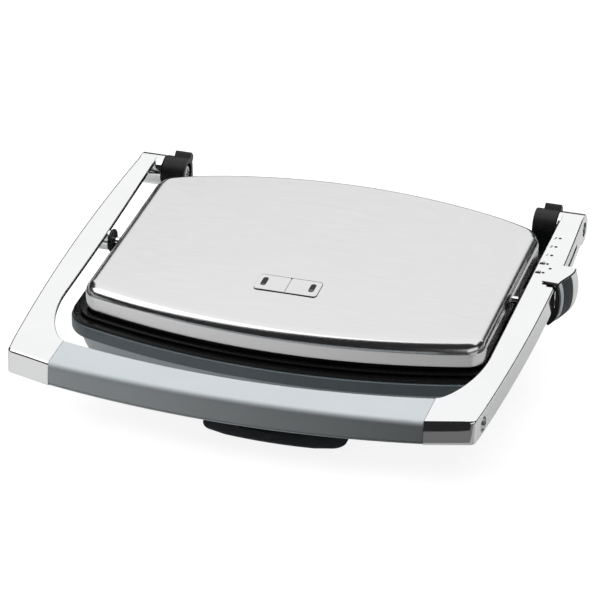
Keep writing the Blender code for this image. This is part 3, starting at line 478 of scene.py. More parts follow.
def softened(node, material, body, width):
    """A CAD node whose outside is right, with its hard edges rounded."""
    shape = bmesh.new()
    shape.from_mesh(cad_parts[node].data)
    bmesh.ops.transform(shape, verts=shape.verts,
                        matrix=Matrix.Scale(1 / MM, 4) @ Matrix.Translation(-ORIGIN))
    bmesh.ops.remove_doubles(shape, verts=shape.verts, dist=0.002)
    bmesh.ops.dissolve_limit(shape, angle_limit=radians(0.5), verts=shape.verts, edges=shape.edges)
    edges = [e for e in shape.edges if e.is_manifold and e.calc_face_angle() > radians(HARD_EDGE)]
    bmesh.ops.bevel(shape, geom=edges, offset=width, segments=2, profile=0.5, affect="EDGES",
                    clamp_overlap=True)
    build(node + "_piece", shape, material, body, node)


def outline(grow, z, bow_steps=44, corner_steps=14):
    """The press's plan: straight sides, bowed front and rear, rounded corners."""
    half_w, half_d = LID_HALF_W + grow, LID_HALF_D + grow
    bow_r = LID_BOW_R + grow
    corner_r = max(LID_CORNER_R + grow, MIN_CORNER_R)
    bow_y = bow_r - half_d
    cx = half_w - corner_r
    cy = bow_y - sqrt((bow_r - corner_r) ** 2 - cx ** 2)
    lean = atan2(cx, bow_y - cy)
    turns = [-lean + 2 * lean * i / bow_steps for i in range(bow_steps + 1)]
    bow = [(bow_r * sin(t), bow_y - bow_r * cos(t)) for t in turns]
    turns = [lean + (pi / 2 - lean) * i / corner_steps for i in range(1, corner_steps + 1)]
    corner = [(cx + corner_r * sin(t), cy - corner_r * cos(t)) for t in turns]
    front = [(-x, y) for x, y in reversed(corner)] + bow + corner
    rear = [(-x, -y) for x, y in front]
    return [(x, MID_Y + y, z) for x, y in front + rear]


def edge_y(grow, x):
    """How far the bowed outline reaches from the middle at a given x."""
    bow_r = LID_BOW_R + grow
    return LID_HALF_D + grow - bow_r + sqrt(bow_r ** 2 - x ** 2)


def stacked(chain, capped=True):
    """A body of the press's plan whose section is a chain of (grow, z) points."""
    return loft([outline(g, z) for g, z in chain], capped)


# ---------------------------------------- lid
def dome_z(x, y):
    """Height of the top face, whose rise runs out to the rear edge."""
    across = min(abs(x) / (LID_HALF_W - LID_SHOULDER), 1.0)
    along = min(max(MID_Y - y, 0.0) / edge_y(-LID_SHOULDER, x), 1.0)
    return LID_TOP + LID_DOME * (1 - across ** 2) * (1 - along ** 2)


def shoulder_radius(y):
    """Radius of the rolled edge, which tightens towards the rear."""
    return LID_SHOULDER + (LID_REAR_R - LID_SHOULDER) * eased(y - MID_Y, LID_REAR_START, LID_REAR_END)


def shoulder(sunk, steps):
    """Rings of the rolled edge, from the wall up to the top face, sunk below the outside."""
    radii = [shoulder_radius(y) for _, y, _ in outline(0, 0)]
    rings = []
    for k in range(steps + 1):
        turn = pi / 2 * k / steps
        ring = []
        for i, radius in enumerate(radii):
            inner = radius - sunk
            x, y, _ = outline(-radius, 0)[i]
            top = dome_z(x, y)
            x, y, _ = outline(inner * cos(turn) - radius, 0)[i]
            ring.append((x, y, top - radius + inner * sin(turn)))
        rings.append(ring)
    return rings


def domed(edge, sunk, shares):
    """Rings that shrink from the rolled edge towards the middle and follow the top face."""
    rings = []
    for share in shares:
        flat = [(x * share, MID_Y + (y - MID_Y) * share) for x, y, _ in edge]
        rings.append([(x, y, dome_z(x, y) - sunk) for x, y in flat])
    return rings


def make_lid():
    bottom = LID_LOW.z
    hem = beside(0, bottom, ((-1.9, 0.9), (-1.6, 0.2), (-1.1, 0), (-0.6, 0.12), (-0.2, 0.6), (0, 1.4)))
    outer = [outline(g, z) for g, z in hem] + shoulder(0, 16)
    outer += domed(outer[-1], 0, [1 - k / 18 for k in range(1, 18)])
    inner = [outline(-SHEET - 1.0, bottom + SHEET + 0.4), outline(-SHEET, bottom + 3.0)]
    inner += shoulder(SHEET, 6)
    inner += domed(inner[-1], SHEET, (0.8, 0.5, 0.2))
    build("lid_shell", loft(inner[::-1] + outer), "brushed_steel", "lid", "lid_cover", sharp=60)


def make_lid_frame():
    low, high = span("lid_frame")
    chain = [(-1.2, low.z), (-0.9, low.z + 0.3), (-0.7, low.z + 1.5), (-0.8, LID_LOW.z - 0.5),
             (-3.4, LID_LOW.z - 0.35), (-3.4, high.z), (-6.4, high.z), (-6.4, low.z)]
    build("lid_skirt", stacked(chain, capped=False), "black_plastic", "lid", "lid_frame")


def make_upper_plate():
    low, high = span("upper_plate")
    face = low.z
    grow = high.x - LID_HALF_W
    chain = beside(0, face, ((-10, 7.7), (-6.9, 6.7), (-6.9, 2.65)))
    chain += beside(grow, face, ((-0.6, 2.6), (-0.15, 2.4), (0, 1.9), (0, 0.6), (-0.2, 0.15), (-0.7, 0)))
    chain += beside(0, face, ((-3.6, 0), (-4.2, 0.2), (-7, 3.5)))
    build("upper_hotplate", [stacked(chain)] + ribs(face + 3.9, face + 0.02, -9.5), "ceramic_coat", "lid",
          "upper_plate")


def ribs(root_z, tip_z, grow, count=16, pitch=17.0):
    """Parallel grill ribs with rounded crests and sloped ends."""
    made = []
    height = tip_z - root_z
    section = [(-3.4, -0.05), (-3.0, 0.22), (-2.5, 0.68), (-1.9, 0.92), (-1.1, 0.995), (0, 1.0),
               (1.1, 0.995), (1.9, 0.92), (2.5, 0.68), (3.0, 0.22), (3.4, -0.05)]
    for i in range(count):
        x = (i - (count - 1) / 2) * pitch
        reach = edge_y(grow, abs(x)) - 4.0
        rings = []
        for y, share in ((-reach, 0.02), (-reach + 0.8, 0.5), (-reach + 1.8, 0.9), (-reach + 3.0, 1.0),
                         (reach - 3.0, 1.0), (reach - 1.8, 0.9), (reach - 0.8, 0.5), (reach, 0.02)):
            rings.append([(x + a, MID_Y + y, root_z + height * (b if b < 0 else b * share))
                          for a, b in section])
        made.append(loft(rings))
    return made


def make_indicator():
    """The raised plate on the lid: two halves, a notch, two lamp windows and a dark seam round it."""
    x, y, _ = middle("indicator_plate")
    half_w, half_d = half("indicator_plate").x, 10.5
    top = dome_z(x, y) + 0.35
    plate = slab(round_rect(half_w, half_d, 3.0, (x, y)), top, top + 0.4, 0.2, 0.1)
    seal = slab(round_rect(half_w + 0.1, half_d + 0.4, 3.2, (x, y + 0.4)), top - 0.7, top + 0.1, 0.05)
    filler = block(around(x, 0.08), around(y, half_d - 0.5), (top + 0.1, top + 0.35), 0.01)
    groove = block(around(x, 0.38), around(y, half_d + 1), (top + 0.15, top + 3), 0.02)
    notch = cutter(0.9, -1, 4, (x, y + half_d - 0.3, top), "Z")
    windows = []
    for lens in ("power_lens", "ready_lens"):
        w, d = half(lens).x + 0.3, half(lens).y + 1.3
        windows.append(prism(round_rect(w, d, w - 0.05, middle(lens)), top - 3, top + 4))
    made = carved(plate, less(groove, notch, *windows))
    reach = 8.0
    slope = (dome_z(x, y + reach) - dome_z(x, y - reach)) / (2 * reach)
    about = Matrix.Translation((x, y, top))
    turn = about @ Matrix.Rotation(atan2(slope, 1.0), 4, "X") @ about.inverted()
    for shape in (made, seal, filler):
        bmesh.ops.transform(shape, matrix=turn, verts=shape.verts)
    build("indicator_panel", made, "brushed_steel", "lid", "indicator_plate")
    build("indicator_seal", [seal, filler], "black_plastic", "lid")
    for lens in ("power_lens", "ready_lens"):
        low, high = span(lens)
        w, d = half(lens).x, half(lens).y + 1.0
        shape = slab(round_rect(w, d, w - 0.05, middle(lens)), low.z, high.z - 0.45, 0.5)
        build(lens + "_piece", shape, "lens", "lid", lens)


# ---------------------------------------- base
def make_housing():
    foot = span("base_housing")[0].z
    outer = [(-33, foot), (-31.5, foot + 1.2), (-26, 16.5), (-20, 21), (-13.8, 27), (-8.4, 33),
             (-3.8, 39.5), (-0.4, 46), (1.8, 51), (3.4, 56), (4.6, 60.5), (5.3, RIM_FOOT - 0.4),
             (5.9, RIM_FOOT)]
    outer += beside(RIM_GROW, RIM_FOOT, ((-1.2, 0), (-0.35, 0.35), (0, 1.2)))
    outer += beside(RIM_GROW, RIM_TOP, ((0, -1.6), (-0.3, -0.6), (-1.3, 0)))
    inner = [(6.8, RIM_TOP), (6.8, 67.5), (-0.5, RIM_FOOT), (-6.0, 46), (-12.5, 33), (-35.5, foot)]
    shell = stacked(outer + inner, capped=False)
    ears = []
    for _, sign in SIDES:
        sections = [(8.0, 8.0, 120.0, 34.0), (9.6, 10.4, 124.5, 39.0), (11.0, 13.0, 129.0, 44.0),
                    (12.0, 16.6, 134.2, 49.5), (12.5, 20.0, 139.0, 55.0), (13.0, 22.5, 141.0, 60.0),
                    (13.0, 22.5, 141.0, 67.6), (12.7, 22.2, 141.0, 68.5), (12.0, 21.5, 141.0, 69.0)]
        ears.append(loft([[(x, y, z) for x, y in round_rect(w, d, 5.0, (sign * EAR_X, mid))]
                          for w, d, mid, z in sections]))
    cord_x, _, cord_z = middle("cord_gland")
    seat = slab([(y, z) for y, z in round_rect(14.0, 14.0, 4.0, (124.0, cord_z))],
                cord_x - 15, cord_x + 15, 1.0, 1.0, axis="X")
    whole = carved(shell, plus(*ears, seat) + less(cutter(7.2, 108, 150, (cord_x, 0, cord_z), "Y")))
    build("base_shell", whole, "slate_plastic", "base", "base_housing")


def make_lower_plate():
    low, high = span("lower_plate")
    face = high.z
    grow = high.x - LID_HALF_W
    chain = [(-9, low.z), (-4, low.z + 0.8), (-3.2, RIM_TOP + 0.3)]
    chain += beside(grow, RIM_TOP + 0.35, ((-0.6, 0), (-0.1, 0.3), (0, 0.7)))
    chain += beside(grow, face, ((0, -0.6), (-0.15, -0.15), (-0.6, 0)))
    chain += beside(0, face, ((-2.2, 0), (-2.7, -0.2), (-5.5, -3.5)))
    plate = carved(stacked(chain), less(cutter(5.2, 60, 82, (0, -74.0, 0), "Z")))
    build("lower_hotplate", [plate] + ribs(face - 3.8, face - 0.02, -13.0), "ceramic_coat", "base",
          "lower_plate")


def make_feet():
    for name in ["foot_" + corner for corner in CORNERS]:
        x, y, _ = middle(name)
        radius = half(name).x
        profile = [(4.6, 0.6), (5.0, 0.0), (7.4, 0.0), (8.1, 0.25), (8.6, 1.0), (9.2, 4.5),
                   (radius, 8.4), (radius - 0.3, 9.0), (3.2, 9.25), (3.2, 11.9), (5.0, 12.0),
                   (2.4, span(name)[1].z)]
        build(name + "_piece", lathe(profile, (x, y, 0)), "rubber", "base", name)


def screw(name, node, centre, axis, point, head_r, head, shank_r, length, body):
    """A pan-head screw with a cross recess; point is the side that its head faces, 1 or -1."""
    side = [(shank_r * 0.6, length), (shank_r, length - 0.8), (shank_r, 0.02), (head_r - 0.2, 0.0),
            (head_r, -0.25), (head_r, -head * 0.45), (head_r * 0.86, -head * 0.8),
            (head_r * 0.55, -head * 0.97), (head_r * 0.2, -head)]
    profile = [(r, -point * h) for r, h in side]
    recess = []
    for wide, tall in ((head_r * 0.6, head_r * 0.13), (head_r * 0.13, head_r * 0.6)):
        x, y, z = centre
        deep, reach = point * head * 0.825, head * 0.475
        if axis == "X":
            ranges = around(x + deep, reach), around(y, wide), around(z, tall)
        else:
            ranges = around(x, wide), around(y, tall), around(z + deep, reach)
        recess.append(block(*ranges, 0.02))
    build(name, carved(lathe(profile, centre, axis, 40), less(*recess)), "zinc_steel", body, node)


def upright_screw(kind, where, head, shank_r, body):
    """A screw driven in from below, on its CAD node's place."""
    node = f"{kind}_screw_{where}"
    low, high = span(node)
    x, y, _ = middle(node)
    seat = low.z + head
    screw(f"{kind}_screw_piece_{where}", node, (x, y, seat), "Z", -1, half(node).x, head, shank_r,
          high.z - seat, body)


def make_screws():
    for corner in CORNERS:
        upright_screw("base", corner, SEAT_Z - span("base_screw_" + corner)[0].z, 1.5, "base")
    for side, sign in SIDES:
        upright_screw("grip", side, 1.55, 1.6, "arms")
        seat, end = 147.35, 179.0
        screw("hinge_pin_piece_" + side, "hinge_pin_" + side, (sign * seat, HINGE_Y, HINGE_Z), "X",
              -sign, 6.6, 2.3, 4.0, end - seat, "base")


def make_hinges():
    """The columns, each a rounded leg with a slanting lobe that stops the arm, and the arms' bushes."""
    for side, sign in SIDES:
        low, high = span("hinge_column_" + side)
        inner, outer = sorted((abs(low.x), abs(high.x)))
        leg = 69.35
        head = arc((HINGE_Y, HINGE_Z), KNUCKLE_R, 0, 180, 40)
        body = slab(head + [(HINGE_Y - KNUCKLE_R, leg), (HINGE_Y + KNUCKLE_R, leg)],
                    inner, outer, 0.7, 0.7, axis="X")
        reach, thick = 17.2, 4.6
        bar = arc((reach - 3.0, -thick + 3.0), 3.0, -90, 0, 8)
        bar += arc((reach - 2.6, thick - 2.6), 2.6, 0, 90, 8)
        bar = [(2.0, -thick)] + bar + [(2.0, thick)]
        lean = radians(43.0)
        turned = [(HINGE_Y + a * cos(lean) - b * sin(lean), HINGE_Z + a * sin(lean) + b * cos(lean))
                  for a, b in bar]
        near, far = (inner + 5.6, outer - 0.05) if sign > 0 else (inner + 0.05, outer - 5.6)
        lobe = slab(turned, near, far, 0.6, 0.6, axis="X")
        made = carved(body, plus(lobe) + less(cutter(8.4, inner - 4, inner + 3.2, HINGE),
                                              cutter(4.35, inner - 4, outer + 4, HINGE)))
        build("hinge_knuckle_" + side, mirrored(made, sign), "black_plastic", "base", "hinge_column_" + side)
        tube = [(6.0, 164.3), (6.0, BUSH_END), (4.05, BUSH_END), (4.05, 164.3)]
        shape = mirrored(lathe(tube, HINGE, "X", closed=True), sign)
        build("hinge_bush_piece_" + side, shape, "bronze", "arms", "hinge_bush_" + side)


def make_gland():
    x, _, z = middle("cord_gland")
    rear_y = 138.0
    profile = [(9.3, 3.6), (10.0, 3.2), (10.5, 2.4), (10.5, 0.6), (10.2, 0.35), (6.8, 0.35),
               (6.8, -5.0), (3.8, -5.0), (3.8, 3.0), (4.4, 3.6)]
    build("cord_bushing", lathe(profile, (x, rear_y, z), "Y", closed=True), "rubber", "base", "cord_gland")


# ---------------------------------------- drip tray
def tray_plan(shrink):
    """Plan of the tray: a bowed front edge with round corners and a straight rear."""
    low, high = span("drip_tray")
    half_w = high.x - shrink
    front, rear = low.y + shrink, high.y - shrink
    radius, rear_r, bow = max(12.0 - shrink, 4.0), 4.0, 5.0
    points = arc((-half_w + radius, front + bow + radius), radius, 180, 262, 12)
    points += [(x * half_w, front + bow * x * x) for x in [k / 8 for k in range(-5, 6)]]
    points += arc((half_w - radius, front + bow + radius), radius, 278, 360, 12)
    points += arc((half_w - rear_r, rear - rear_r), rear_r, 0, 90, 6)
    points += arc((-half_w + rear_r, rear - rear_r), rear_r, 90, 180, 6)
    return points


def make_tray():
    low, high = span("drip_tray")
    top, lip = high.z, 11.0
    under = top - 1.8
    chain = [(lip + 2.6, low.z), (lip + 1.6, low.z + 0.3), (lip - 1.0, under - 0.7), (lip - 2.2, under),
             (0.7, under), (0.15, under + 0.2), (0.0, under + 0.6), (0.0, top - 0.6),
             (0.15, top - 0.15), (0.6, top), (lip - 0.6, top), (lip + 0.1, top - 0.25),
             (lip + 0.5, top - 0.9), (lip + 2.6, low.z + 2.4), (lip + 3.8, low.z + 1.6)]
    shell = loft([[(x, y, z) for x, y in tray_plan(s)] for s, z in chain])
    rib = block((-33.0, -29.0), (low.y + 12.0, low.y + 18.5), (low.z + 1.0, top - 0.4), 0.5)
    bar = block((-29.5, -8.0), (low.y + 17.5, low.y + 19.1), (low.z + 1.0, top - 1.4), 0.4)
    build("drip_tray_shell", [shell, rib, bar], "tray_plastic", "tray", "drip_tray")


# ---------------------------------------- arms and grip
def arm_outer_x(y):
    """The bowed outer face."""
    return ARM_MAX_X - ARM_BOW * (y - ARM_MAX_Y) ** 2


def arm_inner_x(y, sign):
    """The inner face. The left arm's slants outwards behind the pivot."""
    return ARM_INNER_X + (ARM_INNER_TAPER * max(y, 0.0) if sign < 0 else 0.0)


def outer_run(steps=40):
    """Outer edge of an arm's plan from the hinge end round the front corner, as if on the right."""
    front_y, corner_r = -158.0, 5.5
    stations = [HINGE_Y + (front_y - HINGE_Y) * i / steps for i in range(steps + 1)]
    points = [(arm_outer_x(y), y) for y in stations]
    turn_mid = (arm_outer_x(ARM_FRONT_Y) - corner_r, ARM_FRONT_Y + corner_r - 2.5)
    points += arc(turn_mid, corner_r, 0, -72, 14)
    corner = points[-1]
    slope = (corner[1] - GRIP_FRONT_Y) / (corner[0] - JOINT_X)
    for i in range(1, 12):
        x = corner[0] + (JOINT_X - SPARE - corner[0]) * i / 11
        points.append((x, GRIP_FRONT_Y + slope * (x - JOINT_X)))
    return points


def inner_bend(steps=22):
    """Smooth inner edge from the grip's rear edge round into the arm's straight."""
    p = [(JOINT_X, GRIP_BACK_Y + 0.2), (150.0, -148.4), (165.5, -122.0), (ARM_INNER_X, -85.0)]
    points = [(JOINT_X - SPARE, GRIP_BACK_Y + 0.2 - 0.22 * SPARE)]
    for i in range(1, steps + 1):
        t = i / steps
        weights = ((1 - t) ** 3, 3 * t * (1 - t) ** 2, 3 * t * t * (1 - t), t ** 3)
        points.append(tuple(sum(w * q[axis] for w, q in zip(weights, p)) for axis in (0, 1)))
    return points


def front_share(point):
    """1 on an arm's front face, 0 on its flank, and a smooth change round the corner."""
    return 1 - eased(point[1], ARM_FRONT_Y - 4.0, ARM_FRONT_Y + 4.0)


def crown(z):
    """How far the front face has fallen back at this height."""
    return CROWN * ((z - FRAME_BOTTOM) / FRAME_DEPTH) ** 2


def arm_outside(plan, run_length):
    """An arm's outside. Its front face is crowned and its outer top edge has the larger radius."""
    rest = len(plan) - run_length
    shares = [front_share(p) for p in plan[:run_length]] + [0.0] * rest
    edge = [2.2 + 0.6 * share for share in shares[:run_length]] + [INNER_EDGE_R] * rest
    shares[run_length - 1] = 0.0
    edge[0], edge[run_length - 1] = INNER_EDGE_R, INNER_EDGE_R
    rings = []
    foot_r = 0.5
    for k in range(3):
        turn = pi / 4 * k
        rings.append([(x, y, FRAME_BOTTOM + foot_r * (1 - cos(turn)))
                      for x, y in inset(plan, [foot_r * (1 - sin(turn))] * len(plan))])
    start, stop = FRAME_BOTTOM + foot_r, FRAME_TOP - max(edge)
    for k in range(1, 9):
        z = start + (stop - start) * k / 9
        rings.append([(x, y, z) for x, y in inset(plan, [crown(z) * share for share in shares])])
    for k in range(8):
        turn = pi / 2 * k / 7
        heights = [FRAME_TOP - r * (1 - sin(turn)) for r in edge]
        depths = [crown(FRAME_TOP - r) * share + r * (1 - cos(turn)) for r, share in zip(edge, shares)]
        rings.append([(x, y, z) for (x, y), z in zip(inset(plan, depths), heights)])
    return loft(rings)


def arm_cavity(plan, run_length):
    """The hollow under an arm's top, open below and at the hinge end."""
    back = inset(plan, [ARM_SKIN + 0.6] * len(plan))[1:run_length - 1]
    open_y, (x, y) = HINGE_Y + 20, back[-1]
    hollow = [(back[0][0], open_y)] + back + [(x - 12, y - 3.0), (x - 12, open_y)]
    return prism(hollow, FRAME_BOTTOM - 6, FRAME_TOP - TOP_PLATE)


def grip_end():
    """What is cut off an arm to end it square at the grip."""
    far = JOINT_X - 30
    plan = [(far, -210), (JOINT_X, -210), (JOINT_X, -120), (far, -120)]
    return prism(plan, FRAME_BOTTOM - 11, FRAME_TOP + 9)


def slot_cutter():
    """The slot that the height slider's pin runs in."""
    start = SLIDER_PIN_Y - 3.0
    plan = round_rect((SLOT_END_Y - start) / 2, SLOT_HALF, 1.5, ((SLOT_END_Y + start) / 2, SLOT_Z))
    return slab([(y, z) for y, z in plan], 181, 194, 0.0, 0.0, axis="X")


def make_arm(side, sign):
    run = outer_run()
    straight = [(arm_inner_x(y, sign), y) for y in (-50, -20, 10, 40, 70, 100, 130, HINGE_Y)]
    plan = run + inner_bend() + straight
    end_x = arm_outer_x(HINGE_Y)
    inner_x = 163.85
    side_line = beside(KNUCKLE_R, inner_x, ((-0.6, 0), (-0.15, 0.2), (0, 0.7)))
    side_line += beside(KNUCKLE_R, end_x, ((0, -1), (-0.3, -0.3), (-1, 0)))
    drum = lathe(side_line, HINGE, "X", 72)
    boss = rod(8.0, 166.2, 186.5, PIVOT, "X", 0.6)
    holes = [cutter(6.35, inner_x - 2, BUSH_END + 1, HINGE), cutter(ACCESS_R, BUSH_END, OUTSIDE_X, HINGE),
             cutter(ACCESS_R, BUSH_END, OUTSIDE_X, ACCESS), cutter(4.95, 160.0, 179.0, PIVOT)]
    if sign > 0:
        holes.append(slot_cutter())
    steps = less(grip_end(), arm_cavity(plan, len(run))) + plus(drum, boss) + less(*holes)
    shape = mirrored(carved(arm_outside(plan, len(run)), steps), sign)
    build("arm_shell_" + side, shape, "chrome", "arms", side + "_arm", sharp=28)


def make_pivots():
    bush = [(4.6, 166.5), (4.6, 178.0), (3.05, 178.0), (3.05, 166.8), (3.3, 166.5)]
    washer = [(8.7, 163.6), (9.0, 163.9), (9.0, 165.5), (8.7, 165.8), (3.3, 165.8), (3.3, 163.6)]
    pin = [(4.6, 148.6), (5.0, 149.0), (5.0, 150.7), (4.7, 151.0), (3.0, 151.05), (3.0, 177.4),
           (2.4, 178.0)]
    for side, sign in SIDES:
        for name, profile, closed, material, body in (
                ("bush", bush, True, "bronze", "arms"), ("washer", washer, True, "black_plastic", "arms"),
                ("pin", pin, False, "chrome", "lid")):
            shape = mirrored(lathe(profile, PIVOT, "X", closed=closed), sign)
            build(f"pivot_{name}_piece_{side}", shape, material, body, f"pivot_{name}_{side}")


def grip_bow(x):
    """1 in the middle of the grip, 0 at its ends."""
    return 1 - (x / GRIP_HALF_W) ** 2


def grip_section(x, skin):
    """Cross-section of the grip at x, shrunk by skin, as (y, z) points from front bottom up."""
    back = GRIP_BACK_Y - GRIP_BACK_BOW * grip_bow(x) - skin
    front = GRIP_FRONT_Y - GRIP_FRONT_BOW * grip_bow(x) + skin
    top = FRAME_TOP - skin
    nose, heel = max(4.5 - skin, 1.0), max(2.0 - skin, 0.6)
    points = arc((front + nose, top - nose), nose, 180, 90, 12)
    points += arc((back - heel, top - heel), heel, 90, 0, 8)
    return front, back, points


def make_grip():
    """Two mouldings that meet at a seam low on the grip."""
    steps, seam, edge = 64, 2.2, 0.35
    mid_y = -168
    rings, lower = [], []
    for i in range(steps + 1):
        x = -GRIP_HALF_W + 2 * GRIP_HALF_W * i / steps
        low = FRAME_BOTTOM - GRIP_SAG * grip_bow(x)
        front, back, skin = grip_section(x, 0)
        shrink = edge if i in (0, steps) else 0.0
        outer = [(front + edge, low + seam), (front, low + seam + edge)] + skin
        outer += [(back, low + seam + edge), (back - edge, low + seam)]
        front_in, back_in, hollow = grip_section(x, GRIP_SKIN)
        inside = [(front_in, low + seam)] + hollow + [(back_in, low + seam)]
        rings.append([(x, y + (shrink if y < mid_y else -shrink) * 0.3, z)
                      for y, z in outer + inside[::-1]])
        high = low + seam - 0.35
        lower.append([(x, y, z) for y, z in (
            (front + 0.5, high), (front + 0.25, high - 0.25), (front + 0.5, low + 0.7), (front + 1.3, low),
            (back - 1.3, low), (back - 0.5, low + 0.7), (back - 0.25, high - 0.25), (back - 0.5, high))])
    build("grip_top", loft(rings), "grip_plastic", "arms", "grip_upper")
    build("grip_base", loft(lower), "grip_plastic", "arms", "grip_lower")


# ---------------------------------------- height slider
SLIDER_FRONT = span("slider_liner")[0].y
SLIDER_REAR = span("slider_body")[1].y
SLIDER_EDGE_X = 177.0  # inner edge of the slider's top
SLIDER_TOP = FRAME_TOP + 1.6
SLIDER_ROOF = FRAME_TOP + 0.45  # the slider's underside, just clear of the arm's top
PAD_START = 5  # the outside point where the strip and the pad begin


def slider_bulge(y):
    """The outside swells towards the rear, to give the thumb a slope to push."""
    return 192.4 + 7.6 * eased(y, SLIDER_FRONT, SLIDER_REAR - 4.0)


def smoothed(points, steps=4):
    """A curve through the points, with steps spans between each two."""
    made = []
    last = len(points) - 1
    for i in range(last):
        a, b = points[max(i - 1, 0)], points[i]
        c, d = points[i + 1], points[min(i + 2, last)]
        for k in range(steps):
            t = k / steps
            made.append(tuple(0.5 * (2 * q + (r - p) * t + (2 * p - 5 * q + 4 * r - s) * t * t
                                     + (3 * q - p - 3 * r + s) * t ** 3)
                              for p, q, r, s in zip(a, b, c, d)))
    return made + [points[-1]]


def slider_outside(y, skin=0.0, start=0):
    """Outer profile at y, from the top's inner edge down to the tucked-in foot, sunk by skin."""
    points = [(SLIDER_EDGE_X, SLIDER_TOP)] + beside(slider_bulge(y), SLIDER_TOP, (
        (-8.5, 0), (-3.7, -0.25), (-2.9, -0.7), (-2.2, -1.6), (-2.1, -1.9), (-0.5, -8), (0, -16.1),
        (-0.9, -25.1), (-3.6, -32.1), (-8.4, -37.6)))
    inward = [(0, 0)] * 5 + [(-0.9, -0.1), (-1, -0.15), (-1, 0), (-1, 0.12), (-0.85, 0.45), (-0.6, 0.6)]
    moved = [(x + skin * u, z + skin * v) for (x, z), (u, v) in zip(points, inward)]
    return smoothed(moved[start:])


def slider_inside(y):
    return smoothed([(SLIDER_EDGE_X, SLIDER_ROOF)] + beside(slider_bulge(y), SLIDER_ROOF, (
        (-8.5, 0), (-4.9, 0), (-4.3, -0.5), (-4.1, -1.6), (-4, -3), (-2.9, -8), (-2.4, -15),
        (-3.2, -23.5), (-5.4, -29), (-9.6, -33.8))))


def lining_inside(y):
    """The liner closes in on the arm's outer face, and follows it down past its lower edge."""
    return smoothed([(SLIDER_EDGE_X, SLIDER_ROOF)] + beside(arm_outer_x(y) + 0.45, SLIDER_ROOF, (
        (-4, 0), (-0.8, -0.2), (-0.3, -0.8), (-0.1, -1.6), (0, -4), (0, -17), (-0.3, -19.6),
        (-1.5, -20.8), (-5, -23), (-9, -33.8))))


def flank(stations, start, inner, least_x=0.0):
    """A stretch of the slider, from stations of y and how far the outside is sunk there."""
    rings = []
    for y, sunk in stations:
        profile = slider_outside(y, sunk, start) + inner(y)[::-1]
        rings.append([(max(x, least_x), y, z) for x, z in profile])
    return loft(rings)


def make_slider():
    front, rear, pad = SLIDER_FRONT, SLIDER_REAR, 1.3
    body = [(front + 2.6 + i, pad) for i in range(0, 16, 2)]
    body += [(front + 18.6, pad), (front + 18.9, 0.15), (front + 19.2, 0.0)]
    body += [(front + 20 + i, 0.0) for i in range(8)]
    body += [(rear - 1.5, 0.05), (rear - 0.9, 0.15), (rear - 0.4, 0.4), (rear, 0.9)]
    build("slider_shell", flank(body, 0, slider_inside), "chrome", "slider", "slider_body")
    liner = [(front, 0.9), (front + 0.3, 0.65), (front + 0.8, 0.6), (front + 2.2, 0.6)]
    build("slider_lining", flank(liner, 0, lining_inside, 181.0), "black_plastic", "slider", "slider_liner")

    def pad_back(y):
        return slider_outside(y, pad - 0.35, PAD_START)

    strip = [(front + 2.6, 0.25), (front + 2.9, 0.05), (front + 4.8, 0.0), (front + 6.7, 0.05),
             (front + 7.0, 0.25)]
    build("slider_trim", flank(strip, PAD_START, pad_back), "strip_plastic", "slider", "slider_strip")
    grip = [(front + 7.35, 0.2), (front + 7.6, 0.0)]
    grip += [(front + 7.6 + 10.8 * i / 14, -0.3 * sin(pi * i / 14)) for i in range(1, 14)]
    grip += [(front + 18.4, 0.2)]
    build("slider_thumb_pad", flank(grip, PAD_START, pad_back), "rubber", "slider", "slider_grip")
    centre = (0, SLIDER_PIN_Y, SLOT_Z)
    pin = [(2.8, 177.2), (2.8, 179.2), (1.5, 179.2), (1.5, 189.3), (3.2, 189.3), (3.2, 192.9)]
    build("slider_pin_piece", lathe(pin, centre, "X", 32), "zinc_steel", "slider", "slider_pin")


# ---------------------------------------- printed scale
def printed(name, points, body, height):
    """A thin printed shape that lies on a face at this height."""
    build(name, prism(points, height + 0.01, height + 0.05), "print", body)


def number(text, x, y):
    """A printed figure of the scale, leaning like the press's own."""
    curve = bpy.data.curves.new("figure", "FONT")
    curve.body = text
    curve.size = 4.7
    curve.offset = 0.05
    curve.shear = 0.25
    curve.extrude = 0.02
    curve.align_x = "CENTER"
    curve.align_y = "CENTER"
    source = placed("figure", curve)
    bpy.context.view_layer.update()
    shape = bmesh.new()
    shape.from_mesh(source.evaluated_get(bpy.context.evaluated_depsgraph_get()).to_mesh())
    bpy.data.objects.remove(source)
    bmesh.ops.translate(shape, verts=shape.verts, vec=(x, y, FRAME_TOP + 0.03))
    build("scale_figure_" + text, shape, "print", "arms")


def make_scale():
    """Dots at the slider's stops, figures beside three of them and two small pictures."""
    first = SLIDER_PIN_Y + 2.8
    for step in range(5):
        y = first + (SLIDE_PITCH - 0.2) * step
        printed(f"scale_dot_{step}", arc((174.2, y), 1.3, 0, 330, 11), "arms", FRAME_TOP)
    for text, y in (("1", 79.7), ("2", 93.7), ("3", 107.5)):
        number(text, 170.3, y)
    for name, y in (("closed", 65.5), ("lock", 51.0)):
        printed(f"scale_{name}_mark", round_rect(2.1, 1.5, 0.4, (170.3, y)), "arms", FRAME_TOP)
        bow = arc((170.9, y + 1.7), 1.5, 0, 180, 10) + arc((170.9, y + 1.7), 0.9, 180, 0, 10)
        printed(f"scale_{name}_bow", bow, "arms", FRAME_TOP)
    printed("slider_index_dot", arc((178.6, 56.6), 1.3, 0, 330, 11), "slider", SLIDER_TOP)


